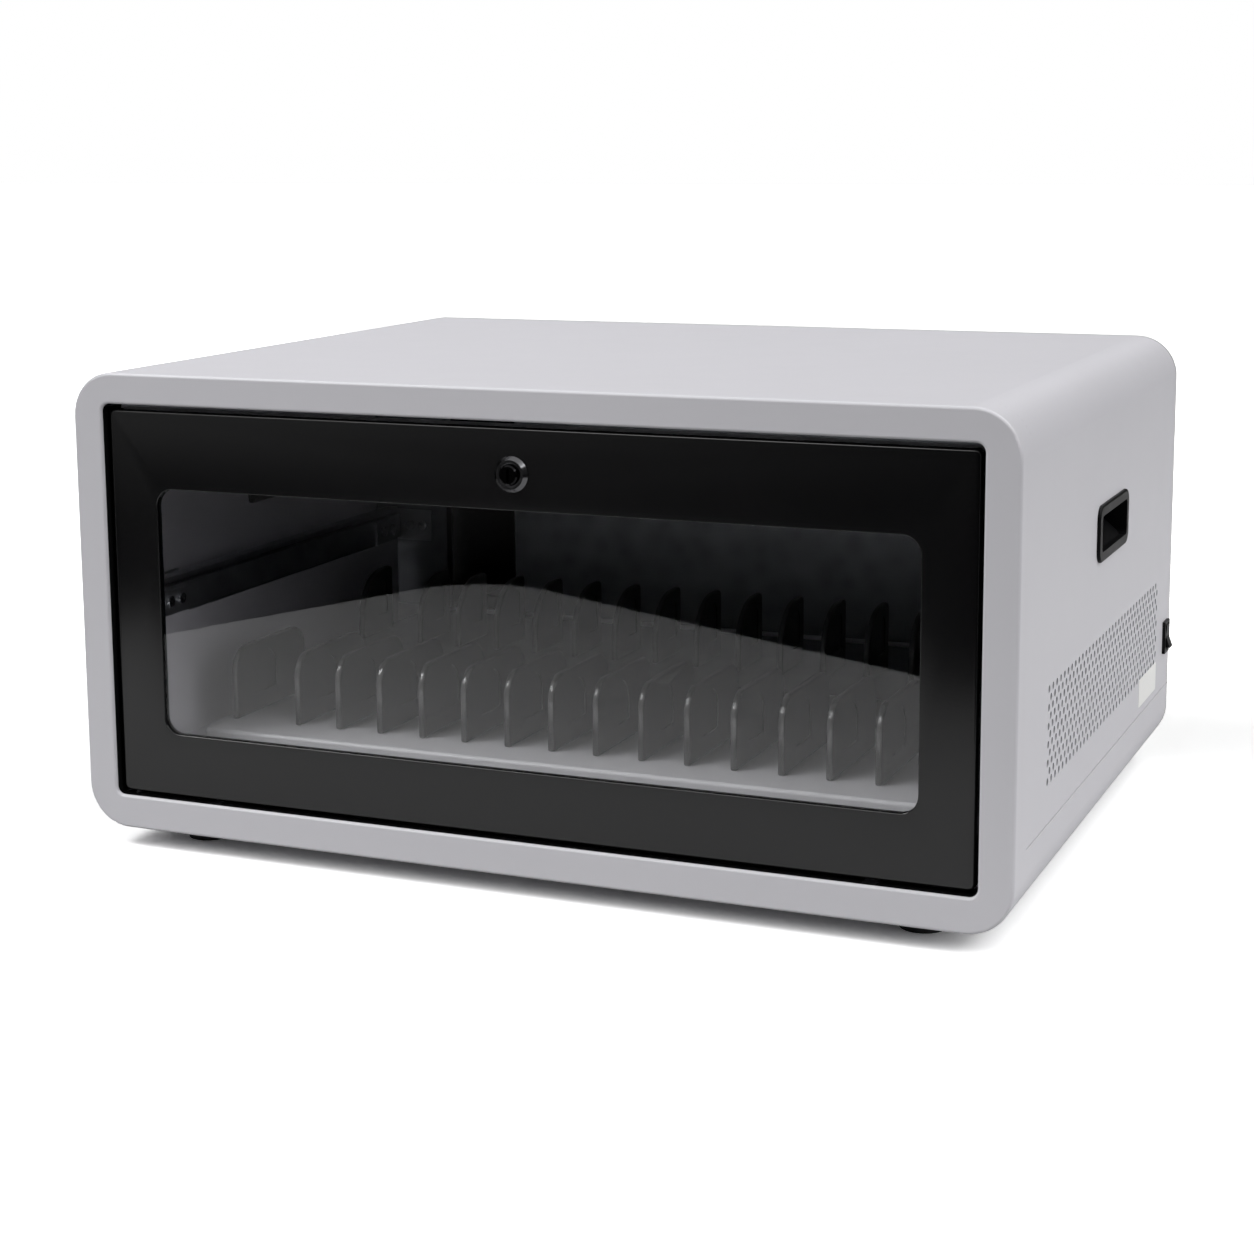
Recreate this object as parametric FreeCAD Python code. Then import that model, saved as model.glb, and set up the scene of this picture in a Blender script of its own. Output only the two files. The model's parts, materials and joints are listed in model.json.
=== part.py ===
import FreeCAD
import Part
import math
import os

# Desk-top charging cabinet with a drop-front drawer. Millimetres, X to the right, Y to the back, Z up.
# The origin is under the middle of the body, on the table that the feet stand on.
# A setback is measured back from the front face, and a level up from the underside of the body.

# Shell
WIDTH = 560.0
DEPTH = 426.0
BODY_HEIGHT = 271.5
CORNER_RADIUS = 26.0
SHEET = 1.5
FRAME_SHEET = 2.0
FRAME_DEPTH = 24.0
FRAME_SIDE = 19.0
FRAME_TOP = 18.0
FRAME_BOTTOM = 19.75
FRAME_EDGE = 1.8
OPENING_RADIUS = 5.0
OPENING_EDGE = 1.6
SEAM_LEVEL = 41.5
SEAM_GAP = 0.6
JOGGLE = 10.0
REAR_FLANGE = 12.0

# Feet
FOOT_HEIGHT = 12.0
FOOT_RADIUS = 15.0
FOOT_TIP_RADIUS = 13.0
FOOT_SIDE_INSET = 58.0
FOOT_END_INSET = 40.0
FOOT_BOLT_RADIUS = 4.0
FOOT_BOLT_DEPTH = 5.0

# Perforated vent, staggered rows of round holes
VENT_COLUMNS = 34
VENT_ROWS = 11
VENT_ROW_PITCH = 5.04
VENT_HOLE_RADIUS = 2.15
VENT_MARGIN = 6.0
VENT_FRONT_INSET = 70.0
VENT_REAR_INSET = 48.0
VENT_LEVEL_SHARE = 0.3324

# Recessed grip
GRIP_LENGTH = 83.0
GRIP_HEIGHT = 33.0
GRIP_RADIUS = 8.0
GRIP_FLANGE = 2.0
GRIP_FLANGE_EDGE = 1.2
GRIP_RIM = 6.0
GRIP_WALL = 2.0
GRIP_DEPTH = 26.0
GRIP_SHALLOW_DEPTH = 2.0
GRIP_SETBACK_SHARE = 0.527
GRIP_LEVEL_SHARE = 0.6584

# Rocker switch, standard 21 by 15 bezel
SWITCH_LENGTH = 21.0
SWITCH_WIDTH = 15.0
SWITCH_RIM = 1.0
SWITCH_BEZEL = 2.0
SWITCH_BODY_DEPTH = 22.0
SWITCH_WALL = 0.8
SWITCH_INSET = 16.0
SWITCH_LEVEL_SHARE = 0.279
ROCKER_PIVOT_DEPTH = 1.5
ROCKER_PIN_RADIUS = 1.2
ROCKER_PIN_LENGTH = 1.1
ROCKER_SIDE_GAP = 0.3
ROCKER_HALF_LENGTH = 7.6
ROCKER_END_RISE = 5.2
ROCKER_VALLEY = 3.6
ROCKER_KEEL = 3.0
ROCKER_WELL = 6.5
ROCKER_TILT = 8.0

# Door
DOOR_RECESS = 4.5
DOOR_DEPTH = 16.0
DOOR_SHEET = 1.5
DOOR_EDGE = 2.0
DOOR_RADIUS = 4.0
DOOR_SIDE_GAP = 2.5
DOOR_TOP_GAP = 3.5
DOOR_BOTTOM_GAP = 2.0
WINDOW_SIDE = 30.5
WINDOW_TOP = 45.5
WINDOW_BOTTOM = 37.0
WINDOW_RADIUS = 10.5
WINDOW_EDGE = 0.5
PANE_THICKNESS = 3.0
PANE_OVERLAP = 6.0
RETAINER_THICKNESS = 1.5
RETAINER_REACH = 15.0
RETAINER_NOTCH = 32.0
STUD_OFFSET = 11.0
STUD_SPREAD_SHARE = 0.35
STUD_RADIUS = 2.0
NUT_ACROSS_FLATS = 7.0
NUT_HEIGHT = 3.2

# Hinge at the door's bottom edge
HINGE_SETBACK = 5.5
HINGE_INSET = 58.5
HINGE_PIN_RADIUS = 2.0
HINGE_EAR_WIDTH = 8.0
HINGE_EAR_RADIUS = 3.4
HINGE_LUG_WIDTH = 5.0
HINGE_SIDE_GAP = 0.5
HINGE_BRIDGE = 2.5
HINGE_WEB = 4.0
HINGE_FLANGE_LENGTH = 40.0
HINGE_FLANGE_WIDTH = 26.0

# Cam lock
LOCK_DROP = 25.5
LOCK_BEZEL_RADIUS = 10.0
LOCK_BEZEL_FACE_RADIUS = 8.0
LOCK_BEZEL_HEIGHT = 2.5
LOCK_BARREL_RADIUS = 8.5
LOCK_PLUG_RADIUS = 5.5
LOCK_PLUG_NOSE = 2.5
LOCK_PLUG_EDGE = 0.8
LOCK_NUT_ACROSS_FLATS = 22.0
LOCK_NUT_HEIGHT = 3.0
KEY_SLOT_WIDTH = 1.4
KEY_SLOT_LENGTH = 7.0
KEY_SLOT_DEPTH = 5.0
CAM_THICKNESS = 2.5
CAM_WIDTH = 14.0
CAM_HOOK = 8.0
CAM_SQUARE = 6.0
CAM_GAP = 0.7

# Ball slides
SLIDE_HEIGHT = 27.0
SLIDE_THICKNESS = 9.8
SLIDE_SHEET = 1.2
SLIDE_LIP = 1.7
SLIDE_SETBACK = 52.0
SLIDE_REAR_GAP = 6.0
SLIDE_LEVEL_SHARE = 0.4696
SLIDE_CLEARANCE = 1.0
SLIDE_RUNNING_GAP = 0.5
INNER_HEIGHT = 17.0
INNER_WIDTH = 5.2
BALL_RADIUS = 1.6
BALL_PITCH = 17.0
BALLS_PER_ROW = 7
CAGE_STRIP = 0.8
CAGE_START_SHARE = 0.4
BRACKET_LENGTH = 24.0
BRACKET_HEIGHT = 22.0
BRACKET_FOOT = 20.0
REAR_BRACKET_LEG = 34.0

# Drawer, its insert and the dividers
DRAWER_SETBACK = 40.0
DRAWER_FLOOR_SETBACK = 32.0
DRAWER_REAR_GAP = 13.0
DRAWER_FLOOR_LEVEL = 42.25
DRAWER_SIDE_DROP = 9.25
DRAWER_BACK_HEIGHT = 30.0
LUG_LENGTH = 30.0
LUG_INSET = 4.0
LUG_RISE = 6.5
INSERT_FRONT_HEIGHT = 12.5
INSERT_STEP = 18.0
INSERT_STEP_SHARE = 0.5
INSERT_REAR_GAP = 15.0
INSERT_SIDE_GAP = 31.25
INSERT_MARGIN = 5.0
INSERT_WALL = 3.0
INSERT_EDGE = 2.5
DIVIDER_COUNT = 16
DIVIDER_FIRST_BAY = 43.9
DIVIDER_THICKNESS = 4.0
FRONT_FIN_INSET = 25.0
FRONT_FIN_LENGTH = 82.0
FRONT_FIN_HEIGHT = 44.0
FRONT_FIN_RADII = (15.0, 14.0)
FRONT_POCKET_WIDTH = 26.0
REAR_FIN_INSET = 39.0
REAR_FIN_LENGTH = 42.0
REAR_FIN_HEIGHT = 43.0
REAR_FIN_RADII = (30.0, 4.0)
REAR_POCKET_WIDTH = 14.0
FIN_POCKET_INSET = 20.0
FIN_POCKET_RISE = 12.0
FIN_POCKET_BAND = 6.5
FIN_POCKET_DEPTH = 0.8

# Bulkhead and the charger behind it
REAR_BAY = 68.0
BULKHEAD_TOP_GAP = 26.5
BULKHEAD_SIDE_GAP = 0.1
BULKHEAD_FLANGE = 6.0
BULKHEAD_FLANGE_INSET = 50.0
CABLE_GAP_INSET = 63.0
CABLE_GAP_WIDTH = 51.0
CABLE_GAP_LEVEL = 36.0
CABLE_GAP_TOP_MARGIN = 19.0
BOARD_GAP = 28.0
BOARD_INSET = 100.0
BOARD_TOP_MARGIN = 15.0
BOARD_HEIGHT_SHARE = 0.295
BOARD_THICKNESS = 1.6
STANDOFF_RADIUS = 3.0
STANDOFF_LENGTH = 8.0
STANDOFF_INSET = 8.0
SOCKET_MARGIN = 20.0
SOCKET_WIDTH = 13.2
SOCKET_DEPTH = 5.8
SOCKET_HEIGHT = 14.0
SOCKET_WALL = 0.7
SOCKET_WELL = 9.0
SOCKET_TONGUE = 1.6
SUPPLY_INSET = 75.0
SUPPLY_LENGTH = 215.0
SUPPLY_FRONT_GAP = 8.5
SUPPLY_REAR_GAP = 8.0
SUPPLY_HEIGHT_SHARE = 0.4236
SUPPLY_EDGE = 2.0

# Power inlet with three blades, and the leads
INLET_INSET = 80.0
INLET_LEVEL = 60.0
INLET_FLANGE_WIDTH = 31.0
INLET_FLANGE_HEIGHT = 25.0
INLET_FLANGE = 2.2
INLET_BODY_WIDTH = 27.6
INLET_BODY_HEIGHT = 20.6
INLET_BODY_DEPTH = 26.0
INLET_RADIUS = 3.0
INLET_WELL_WIDTH = 24.4
INLET_WELL_HEIGHT = 17.0
INLET_WELL_DEPTH = 17.0
BLADE_SPREAD = 14.0
BLADE_THICKNESS = 2.0
BLADE_HEIGHT = 4.0
BLADE_LENGTH = 14.0
EARTH_RAISE = 4.0
LEAD_RADIUS = 3.0
LEAD_BEND_SHARE = 0.45
LEAD_OFFSET = 15.0

# Screws and fits
SCREW_RADIUS = 2.0
SCREW_HOLE_RADIUS = 2.1
HEAD_RADIUS = 3.6
HEAD_HEIGHT = 2.0
LOW_HEAD_HEIGHT = 1.0
REAR_SCREW_INSET = 50.0
SCREW_REACH = 4.0
LUG_SCREW_PITCH = 12.0
BRACKET_SCREW_PITCH = 10.0
RUNNING_FIT = 0.05
FIXED_FIT = 0.01
FITTING_GAP = 0.3
PASS = 1.0

# Places worked out from the sizes above
FRONT = -DEPTH / 2
REAR = DEPTH / 2
UNDERSIDE = FOOT_HEIGHT
TOP = UNDERSIDE + BODY_HEIGHT
SIDE = WIDTH / 2
OPENING_X = SIDE - FRAME_SIDE
OPENING_Z = (UNDERSIDE + FRAME_BOTTOM, TOP - FRAME_TOP)
LINER_BACK = FRONT + DOOR_RECESS + DOOR_DEPTH
SEAM = UNDERSIDE + SEAM_LEVEL
GRIP_Y = FRONT + GRIP_SETBACK_SHARE * DEPTH
GRIP_Z = UNDERSIDE + GRIP_LEVEL_SHARE * BODY_HEIGHT

DOOR_X = OPENING_X - DOOR_SIDE_GAP
DOOR_Z = (OPENING_Z[0] + DOOR_BOTTOM_GAP, OPENING_Z[1] - DOOR_TOP_GAP)
DOOR_FRONT = FRONT + DOOR_RECESS
SKIN_BACK = DOOR_FRONT + DOOR_SHEET
DOOR_BACK = DOOR_FRONT + DOOR_DEPTH
WINDOW_X = DOOR_X - WINDOW_SIDE
WINDOW_Z = (DOOR_Z[0] + WINDOW_BOTTOM, DOOR_Z[1] - WINDOW_TOP)
HINGE_X = DOOR_X - HINGE_INSET
HINGE_Y = DOOR_FRONT + HINGE_SETBACK
HINGE_Z = DOOR_Z[0] + HINGE_SETBACK
LOCK_Z = DOOR_Z[1] - LOCK_DROP
CAM_Y = (DOOR_BACK + CAM_GAP, DOOR_BACK + CAM_GAP + CAM_THICKNESS)

BULKHEAD_Y = (REAR - REAR_BAY, REAR - REAR_BAY + SHEET)
BULKHEAD_TOP = TOP - BULKHEAD_TOP_GAP
CABLE_GAP_X = (CABLE_GAP_INSET - SIDE, CABLE_GAP_INSET + CABLE_GAP_WIDTH - SIDE)
CABLE_GAP_Z = (UNDERSIDE + CABLE_GAP_LEVEL, BULKHEAD_TOP - CABLE_GAP_TOP_MARGIN)

INNER_OUTSIDE = OPENING_X - SLIDE_CLEARANCE
INNER_INSIDE = INNER_OUTSIDE - INNER_WIDTH
SLIDE_OUTSIDE = INNER_INSIDE + SLIDE_THICKNESS
SLIDE_Y = (FRONT + SLIDE_SETBACK, BULKHEAD_Y[0] - SLIDE_REAR_GAP)
SLIDE_Z = UNDERSIDE + SLIDE_LEVEL_SHARE * BODY_HEIGHT

DRAWER_SIDE_X = (INNER_INSIDE - SHEET, INNER_INSIDE)
DRAWER_Y = (FRONT + DRAWER_SETBACK, BULKHEAD_Y[0] - DRAWER_REAR_GAP)
FLOOR_TOP = UNDERSIDE + DRAWER_FLOOR_LEVEL
DRAWER_SIDE_TOP = SLIDE_Z - DRAWER_SIDE_DROP
LUG_FRONT_Y = (DRAWER_Y[0] + LUG_INSET, DRAWER_Y[0] + LUG_INSET + LUG_LENGTH)
LUG_REAR_Y = (DRAWER_Y[1] - LUG_LENGTH, DRAWER_Y[1])
INSERT_TOP = FLOOR_TOP + INSERT_FRONT_HEIGHT
INSERT_STEP_TOP = INSERT_TOP + INSERT_STEP
INSERT_X = DRAWER_SIDE_X[0] - INSERT_SIDE_GAP
INSERT_Y = (DRAWER_Y[0], DRAWER_Y[1] - INSERT_REAR_GAP)
INSERT_STEP_Y = INSERT_Y[0] + INSERT_STEP_SHARE * (INSERT_Y[1] - INSERT_Y[0])
FRONT_FIN_START = INSERT_Y[0] + FRONT_FIN_INSET
REAR_FIN_START = INSERT_STEP_Y + REAR_FIN_INSET
DIVIDER_SPAN = 2 * (INSERT_X - INSERT_MARGIN)
DIVIDER_PITCH = (DIVIDER_SPAN - DIVIDER_FIRST_BAY) / (DIVIDER_COUNT - 2)

BOARD_X = (CABLE_GAP_X[1] + BOARD_GAP, SIDE - BOARD_INSET)
BOARD_Y = (BULKHEAD_Y[1] + STANDOFF_LENGTH, BULKHEAD_Y[1] + STANDOFF_LENGTH + BOARD_THICKNESS)
BOARD_TOP = BULKHEAD_TOP - BOARD_TOP_MARGIN
BOARD_Z = (BOARD_TOP - BOARD_HEIGHT_SHARE * BODY_HEIGHT, BOARD_TOP)
SUPPLY_X = (SIDE - SUPPLY_INSET - SUPPLY_LENGTH, SIDE - SUPPLY_INSET)
SUPPLY_Y = (BULKHEAD_Y[1] + SUPPLY_FRONT_GAP, REAR - SUPPLY_REAR_GAP)
SUPPLY_Z = (UNDERSIDE + SHEET, UNDERSIDE + SHEET + SUPPLY_HEIGHT_SHARE * BODY_HEIGHT)
INLET_X = INLET_INSET - SIDE
INLET_Z = UNDERSIDE + INLET_LEVEL
SWITCH_Y = REAR - SWITCH_INSET
SWITCH_Z = UNDERSIDE + SWITCH_LEVEL_SHARE * BODY_HEIGHT
ROCKER_PIVOT_X = SIDE - ROCKER_PIVOT_DEPTH

AXES = {
    "X": lambda u, v, w: FreeCAD.Vector(w, u, v),
    "Y": lambda u, v, w: FreeCAD.Vector(u, w, v),
    "Z": lambda u, v, w: FreeCAD.Vector(u, v, w),
}
ALONG_X = FreeCAD.Vector(1, 0, 0)
ALONG_Y = FreeCAD.Vector(0, 1, 0)
ALONG_Z = FreeCAD.Vector(0, 0, 1)


# Shape helpers

def around(centre, length):
    """The two ends of a length that is centred on a point."""
    return (centre - length / 2, centre + length / 2)


def grown(span, by):
    """A span with both ends moved out."""
    return (span[0] - by, span[1] + by)


def block(x, y, z):
    """Box between two values on each axis."""
    return Part.makeBox(x[1] - x[0], y[1] - y[0], z[1] - z[0], FreeCAD.Vector(x[0], y[0], z[0]))


def rounded_bar(axis, u, v, radius, w):
    """Bar along an axis, whose section is a rectangle with round corners."""
    place = AXES[axis]
    lean = radius * (1 - math.sqrt(0.5))
    corners = [
        ((u[1] - radius, v[0]), (u[1] - lean, v[0] + lean), (u[1], v[0] + radius)),
        ((u[1], v[1] - radius), (u[1] - lean, v[1] - lean), (u[1] - radius, v[1])),
        ((u[0] + radius, v[1]), (u[0] + lean, v[1] - lean), (u[0], v[1] - radius)),
        ((u[0], v[0] + radius), (u[0] + lean, v[0] + lean), (u[0] + radius, v[0])),
    ]
    edges = []
    for corner, following in zip(corners, corners[1:] + corners[:1]):
        points = [place(a, b, w[0]) for a, b in corner]
        edges.append(Part.Arc(*points).toShape())
        edges.append(Part.makeLine(points[2], place(*following[0], w[0])))
    return Part.Face(Part.Wire(edges)).extrude(place(0, 0, w[1] - w[0]))


def outline_bar(axis, points, w):
    """Bar along an axis, whose section has straight sides."""
    place = AXES[axis]
    corners = [place(a, b, w[0]) for a, b in points]
    return Part.Face(Part.makePolygon(corners + corners[:1])).extrude(place(0, 0, w[1] - w[0]))


def hexagon_bar(centre, across_flats, y):
    """Hexagonal bar along Y."""
    reach = across_flats / math.sqrt(3)
    turns = [math.radians(60 * corner) for corner in range(6)]
    points = [(centre[0] + reach * math.cos(a), centre[1] + reach * math.sin(a)) for a in turns]
    return outline_bar("Y", points, y)


def rod(start, way, radius, length):
    """Round bar from a point."""
    return Part.makeCylinder(radius, length, start, way)


def joined(shapes):
    """One solid from shapes that meet."""
    return shapes[0].fuse(shapes[1:]).removeSplitter()


def group(shapes):
    """Separate solids kept in one node."""
    return Part.makeCompound(shapes)


def mirrored(shape):
    """The same piece on the other side of the cabinet."""
    return shape.mirror(FreeCAD.Vector(0, 0, 0), ALONG_X)


def edges_at(shape, axis_name, value, inside=None):
    """Edges that lie in a plane across an axis, and inside a box when one is given."""
    found = []
    for edge in shape.Edges:
        box = edge.BoundBox
        low, high = getattr(box, axis_name + "Min"), getattr(box, axis_name + "Max")
        flat = abs(low - value) < 1e-4 and abs(high - value) < 1e-4
        if flat and (inside is None or inside.isInside(box.Center)):
            found.append(edge)
    return found


def screw(seat, way, length, head_height=HEAD_HEIGHT):
    """Pan-head screw whose head sits on a seat."""
    head = rod(seat, way.negative(), HEAD_RADIUS, head_height)
    return joined([head, rod(seat, way, SCREW_RADIUS, length)])


def drilled(shape, seats, way, depth):
    """Shape with a screw hole through it at each seat, to a depth on both sides of the seat."""
    holes = [rod(seat - way * depth, way, SCREW_HOLE_RADIUS, 2 * depth) for seat in seats]
    return shape.cut(holes)


# Shell

def body_bar(inset, y):
    """Bar with the section of the body, moved in by an inset."""
    radius = CORNER_RADIUS - inset
    return rounded_bar("Y", grown((-SIDE, SIDE), -inset), grown((UNDERSIDE, TOP), -inset), radius, y)


def front_frame():
    """Welded front ring: a flat face round the opening, and an outer skirt."""
    back = FRONT + FRAME_DEPTH
    outer = body_bar(0, (FRONT, back))
    outer = outer.makeFillet(FRAME_EDGE, edges_at(outer, "Y", FRONT))
    hollow = body_bar(FRAME_SHEET, (FRONT + FRAME_SHEET, back + PASS))
    opening = rounded_bar("Y", (-OPENING_X, OPENING_X), OPENING_Z, OPENING_RADIUS, (FRONT - PASS, back))
    frame = outer.cut([hollow, opening])
    mouth = block(grown((-OPENING_X, OPENING_X), PASS), grown((FRONT, FRONT), PASS), grown(OPENING_Z, PASS))
    rim = edges_at(frame, "Y", FRONT, mouth.BoundBox)
    return frame.makeFillet(OPENING_EDGE, rim)


def opening_liner():
    """Channel round the opening, behind the ring. Its top is the strike for the lock's cam."""
    y = (FRONT + FRAME_SHEET, LINER_BACK)
    outside_x = grown((-OPENING_X, OPENING_X), SHEET)
    outside = rounded_bar("Y", outside_x, grown(OPENING_Z, SHEET), OPENING_RADIUS + SHEET, y)
    inside = rounded_bar("Y", (-OPENING_X, OPENING_X), OPENING_Z, OPENING_RADIUS, grown(y, PASS))
    return outside.cut(inside)


def sleeve():
    """Rounded sheet-metal tube between the front ring and the rear panel, with an inner rear flange."""
    y = (FRONT + FRAME_DEPTH, REAR - SHEET)
    tube = body_bar(0, y).cut(body_bar(SHEET, grown(y, PASS)))
    flange_y = (y[1] - SHEET, y[1])
    flange = body_bar(SHEET, flange_y).cut(body_bar(SHEET + REAR_FLANGE, grown(flange_y, PASS)))
    return joined([tube, flange])


def rear_screw_seats():
    """Places of the screws that hold the rear panel to the flanges."""
    inset = SHEET + REAR_FLANGE / 2
    xs = (REAR_SCREW_INSET - SIDE, 0.0, SIDE - REAR_SCREW_INSET)
    return [FreeCAD.Vector(x, REAR, z) for x in xs for z in (UNDERSIDE + inset, TOP - inset)]


def vent_box():
    """Y and Z spans of a perforated field."""
    y = grown((FRONT + VENT_FRONT_INSET, REAR - VENT_REAR_INSET), VENT_MARGIN)
    height = (VENT_ROWS - 1) * VENT_ROW_PITCH + 2 * VENT_MARGIN
    return y, around(UNDERSIDE + VENT_LEVEL_SHARE * BODY_HEIGHT, height)


def grip_hole(wall):
    """Bar through the side wall where a grip's cup goes in; wall is the cup's wall."""
    inset = GRIP_RIM - wall
    y = grown(around(GRIP_Y, GRIP_LENGTH), -inset)
    z = grown(around(GRIP_Z, GRIP_HEIGHT), -inset)
    return y, z, GRIP_RADIUS - GRIP_WALL - inset / 2


def switch_hole(gap):
    """Y and Z spans of the switch cut-out, grown by a gap."""
    y = grown(around(SWITCH_Y, SWITCH_WIDTH), gap - SWITCH_RIM)
    z = grown(around(SWITCH_Z, SWITCH_LENGTH), gap - SWITCH_RIM)
    return y, z


def top_cover():
    """Inverted U of the shell above the seam, with the side cut-outs."""
    below = block(grown((-SIDE, SIDE), PASS), grown((FRONT, REAR), PASS), (UNDERSIDE - PASS, SEAM))
    wall = (SIDE - SHEET - PASS, SIDE + PASS)
    vent_y, vent_z = vent_box()
    vent = block(wall, vent_y, vent_z)
    grip_y, grip_z, grip_radius = grip_hole(GRIP_WALL + FITTING_GAP)
    grip = rounded_bar("X", grip_y, grip_z, grip_radius, wall)
    switch = block(wall, *switch_hole(FIXED_FIT))
    cuts = [below, vent, mirrored(vent), grip, mirrored(grip), switch]
    return drilled(sleeve().cut(cuts), rear_screw_seats(), ALONG_Y, SCREW_REACH)


def base_pan():
    """U of the shell below the seam, with joggled edges that lie inside the cover."""
    seam_top = SEAM - SEAM_GAP
    above = block(grown((-SIDE, SIDE), PASS), grown((FRONT, REAR), PASS), (seam_top, TOP + PASS))
    strip_y = (FRONT + FRAME_DEPTH, REAR - 2 * SHEET)
    strip = block((SIDE - 2 * SHEET, SIDE - SHEET), strip_y, (seam_top - JOGGLE, SEAM + JOGGLE))
    pan = joined([sleeve().cut(above), strip, mirrored(strip)])
    return drilled(pan, rear_screw_seats(), ALONG_Y, SCREW_REACH)


def rear_panel():
    """Flat back plate with the inlet's cut-out."""
    plate = body_bar(0, (REAR - SHEET, REAR))
    x = grown(around(INLET_X, INLET_BODY_WIDTH), FIXED_FIT)
    z = grown(around(INLET_Z, INLET_BODY_HEIGHT), FIXED_FIT)
    cut_out = rounded_bar("Y", x, z, INLET_RADIUS, grown((REAR - SHEET, REAR), PASS))
    return drilled(plate.cut(cut_out), rear_screw_seats(), ALONG_Y, SCREW_REACH)


def vent_panel():
    """Flush perforated sheet in the right side wall."""
    y, z = vent_box()
    places = [(y[0], z[0]), (y[1], z[0]), (y[1], z[1]), (y[0], z[1])]
    corners = [FreeCAD.Vector(SIDE - SHEET, a, b) for a, b in places]
    wires = [Part.makePolygon(corners + corners[:1])]
    pitch = (y[1] - y[0] - 2 * VENT_MARGIN) / (VENT_COLUMNS - 0.5)
    for row in range(VENT_ROWS):
        for column in range(VENT_COLUMNS):
            hole_y = y[0] + VENT_MARGIN + (column + 0.5 * (row % 2)) * pitch
            hole_z = z[1] - VENT_MARGIN - row * VENT_ROW_PITCH
            centre = FreeCAD.Vector(SIDE - SHEET, hole_y, hole_z)
            wires.append(Part.Wire(Part.makeCircle(VENT_HOLE_RADIUS, centre, ALONG_X)))
    return Part.makeFace(wires, "Part::FaceMakerBullseye").extrude(ALONG_X * SHEET)


def sloped_block(outside, depths, y, z):
    """Block behind the right side wall, with one depth at the bottom and another at the top."""
    points = [(outside, z[0]), (outside, z[1]), (SIDE - depths[1], z[1]), (SIDE - depths[0], z[0])]
    return outline_bar("Y", points, grown(y, PASS))


def handle_cup():
    """Recessed grip in the right side: flange outside, and a cup whose back slopes in towards the top."""
    flange_y = around(GRIP_Y, GRIP_LENGTH)
    flange_z = around(GRIP_Z, GRIP_HEIGHT)
    face = SIDE + GRIP_FLANGE
    flange = rounded_bar("X", flange_y, flange_z, GRIP_RADIUS, (SIDE, face))
    flange = flange.makeFillet(GRIP_FLANGE_EDGE, edges_at(flange, "X", face))
    cup_y, cup_z, cup_radius = grip_hole(GRIP_WALL)
    well_y, well_z, well_radius = grip_hole(0.0)
    lean = (GRIP_DEPTH - GRIP_SHALLOW_DEPTH) / (well_z[1] - well_z[0])
    back_wall = GRIP_WALL * math.hypot(1, lean)
    cup_depths = [GRIP_SHALLOW_DEPTH + lean * (z - well_z[0]) + back_wall for z in cup_z]
    cup = rounded_bar("X", cup_y, cup_z, cup_radius, (SIDE - GRIP_DEPTH - GRIP_WALL, SIDE))
    cup = cup.common(sloped_block(SIDE, cup_depths, cup_y, cup_z))
    well = rounded_bar("X", well_y, well_z, well_radius, (SIDE - GRIP_DEPTH, face + PASS))
    hollow = well.common(sloped_block(face + PASS, (GRIP_SHALLOW_DEPTH, GRIP_DEPTH), well_y, well_z))
    return joined([flange, cup]).cut(hollow)


def feet():
    """Four rubber feet, each with a sunk bolt hole."""
    shapes = []
    for x in (-SIDE + FOOT_SIDE_INSET, SIDE - FOOT_SIDE_INSET):
        for y in (FRONT + FOOT_END_INSET, REAR - FOOT_END_INSET):
            bottom = FreeCAD.Vector(x, y, 0)
            foot = Part.makeCone(FOOT_TIP_RADIUS, FOOT_RADIUS, FOOT_HEIGHT, bottom, ALONG_Z)
            shapes.append(foot.cut(rod(bottom, ALONG_Z, FOOT_BOLT_RADIUS, FOOT_BOLT_DEPTH)))
    return group(shapes)


# Power switch

def switch_body():
    """Bezel and housing of the rocker switch, with a well and pivot holes for the rocker."""
    bezel_y, bezel_z = around(SWITCH_Y, SWITCH_WIDTH), around(SWITCH_Z, SWITCH_LENGTH)
    bezel = block((SIDE, SIDE + SWITCH_BEZEL), bezel_y, bezel_z)
    housing_y, housing_z = switch_hole(0.0)
    housing = block((SIDE - SWITCH_BODY_DEPTH, SIDE), housing_y, housing_z)
    well_x = (ROCKER_PIVOT_X - ROCKER_WELL, SIDE + SWITCH_BEZEL + PASS)
    well_y, well_z = grown(housing_y, -SWITCH_WALL * 2), grown(housing_z, -SWITCH_WALL)
    body = joined([bezel, housing]).cut(block(well_x, well_y, well_z))
    pivot = FreeCAD.Vector(ROCKER_PIVOT_X, well_y[0] - ROCKER_PIN_LENGTH, SWITCH_Z)
    pivot_length = well_y[1] - well_y[0] + 2 * ROCKER_PIN_LENGTH
    return body.cut(rod(pivot, ALONG_Y, ROCKER_PIN_RADIUS + RUNNING_FIT, pivot_length))


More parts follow.
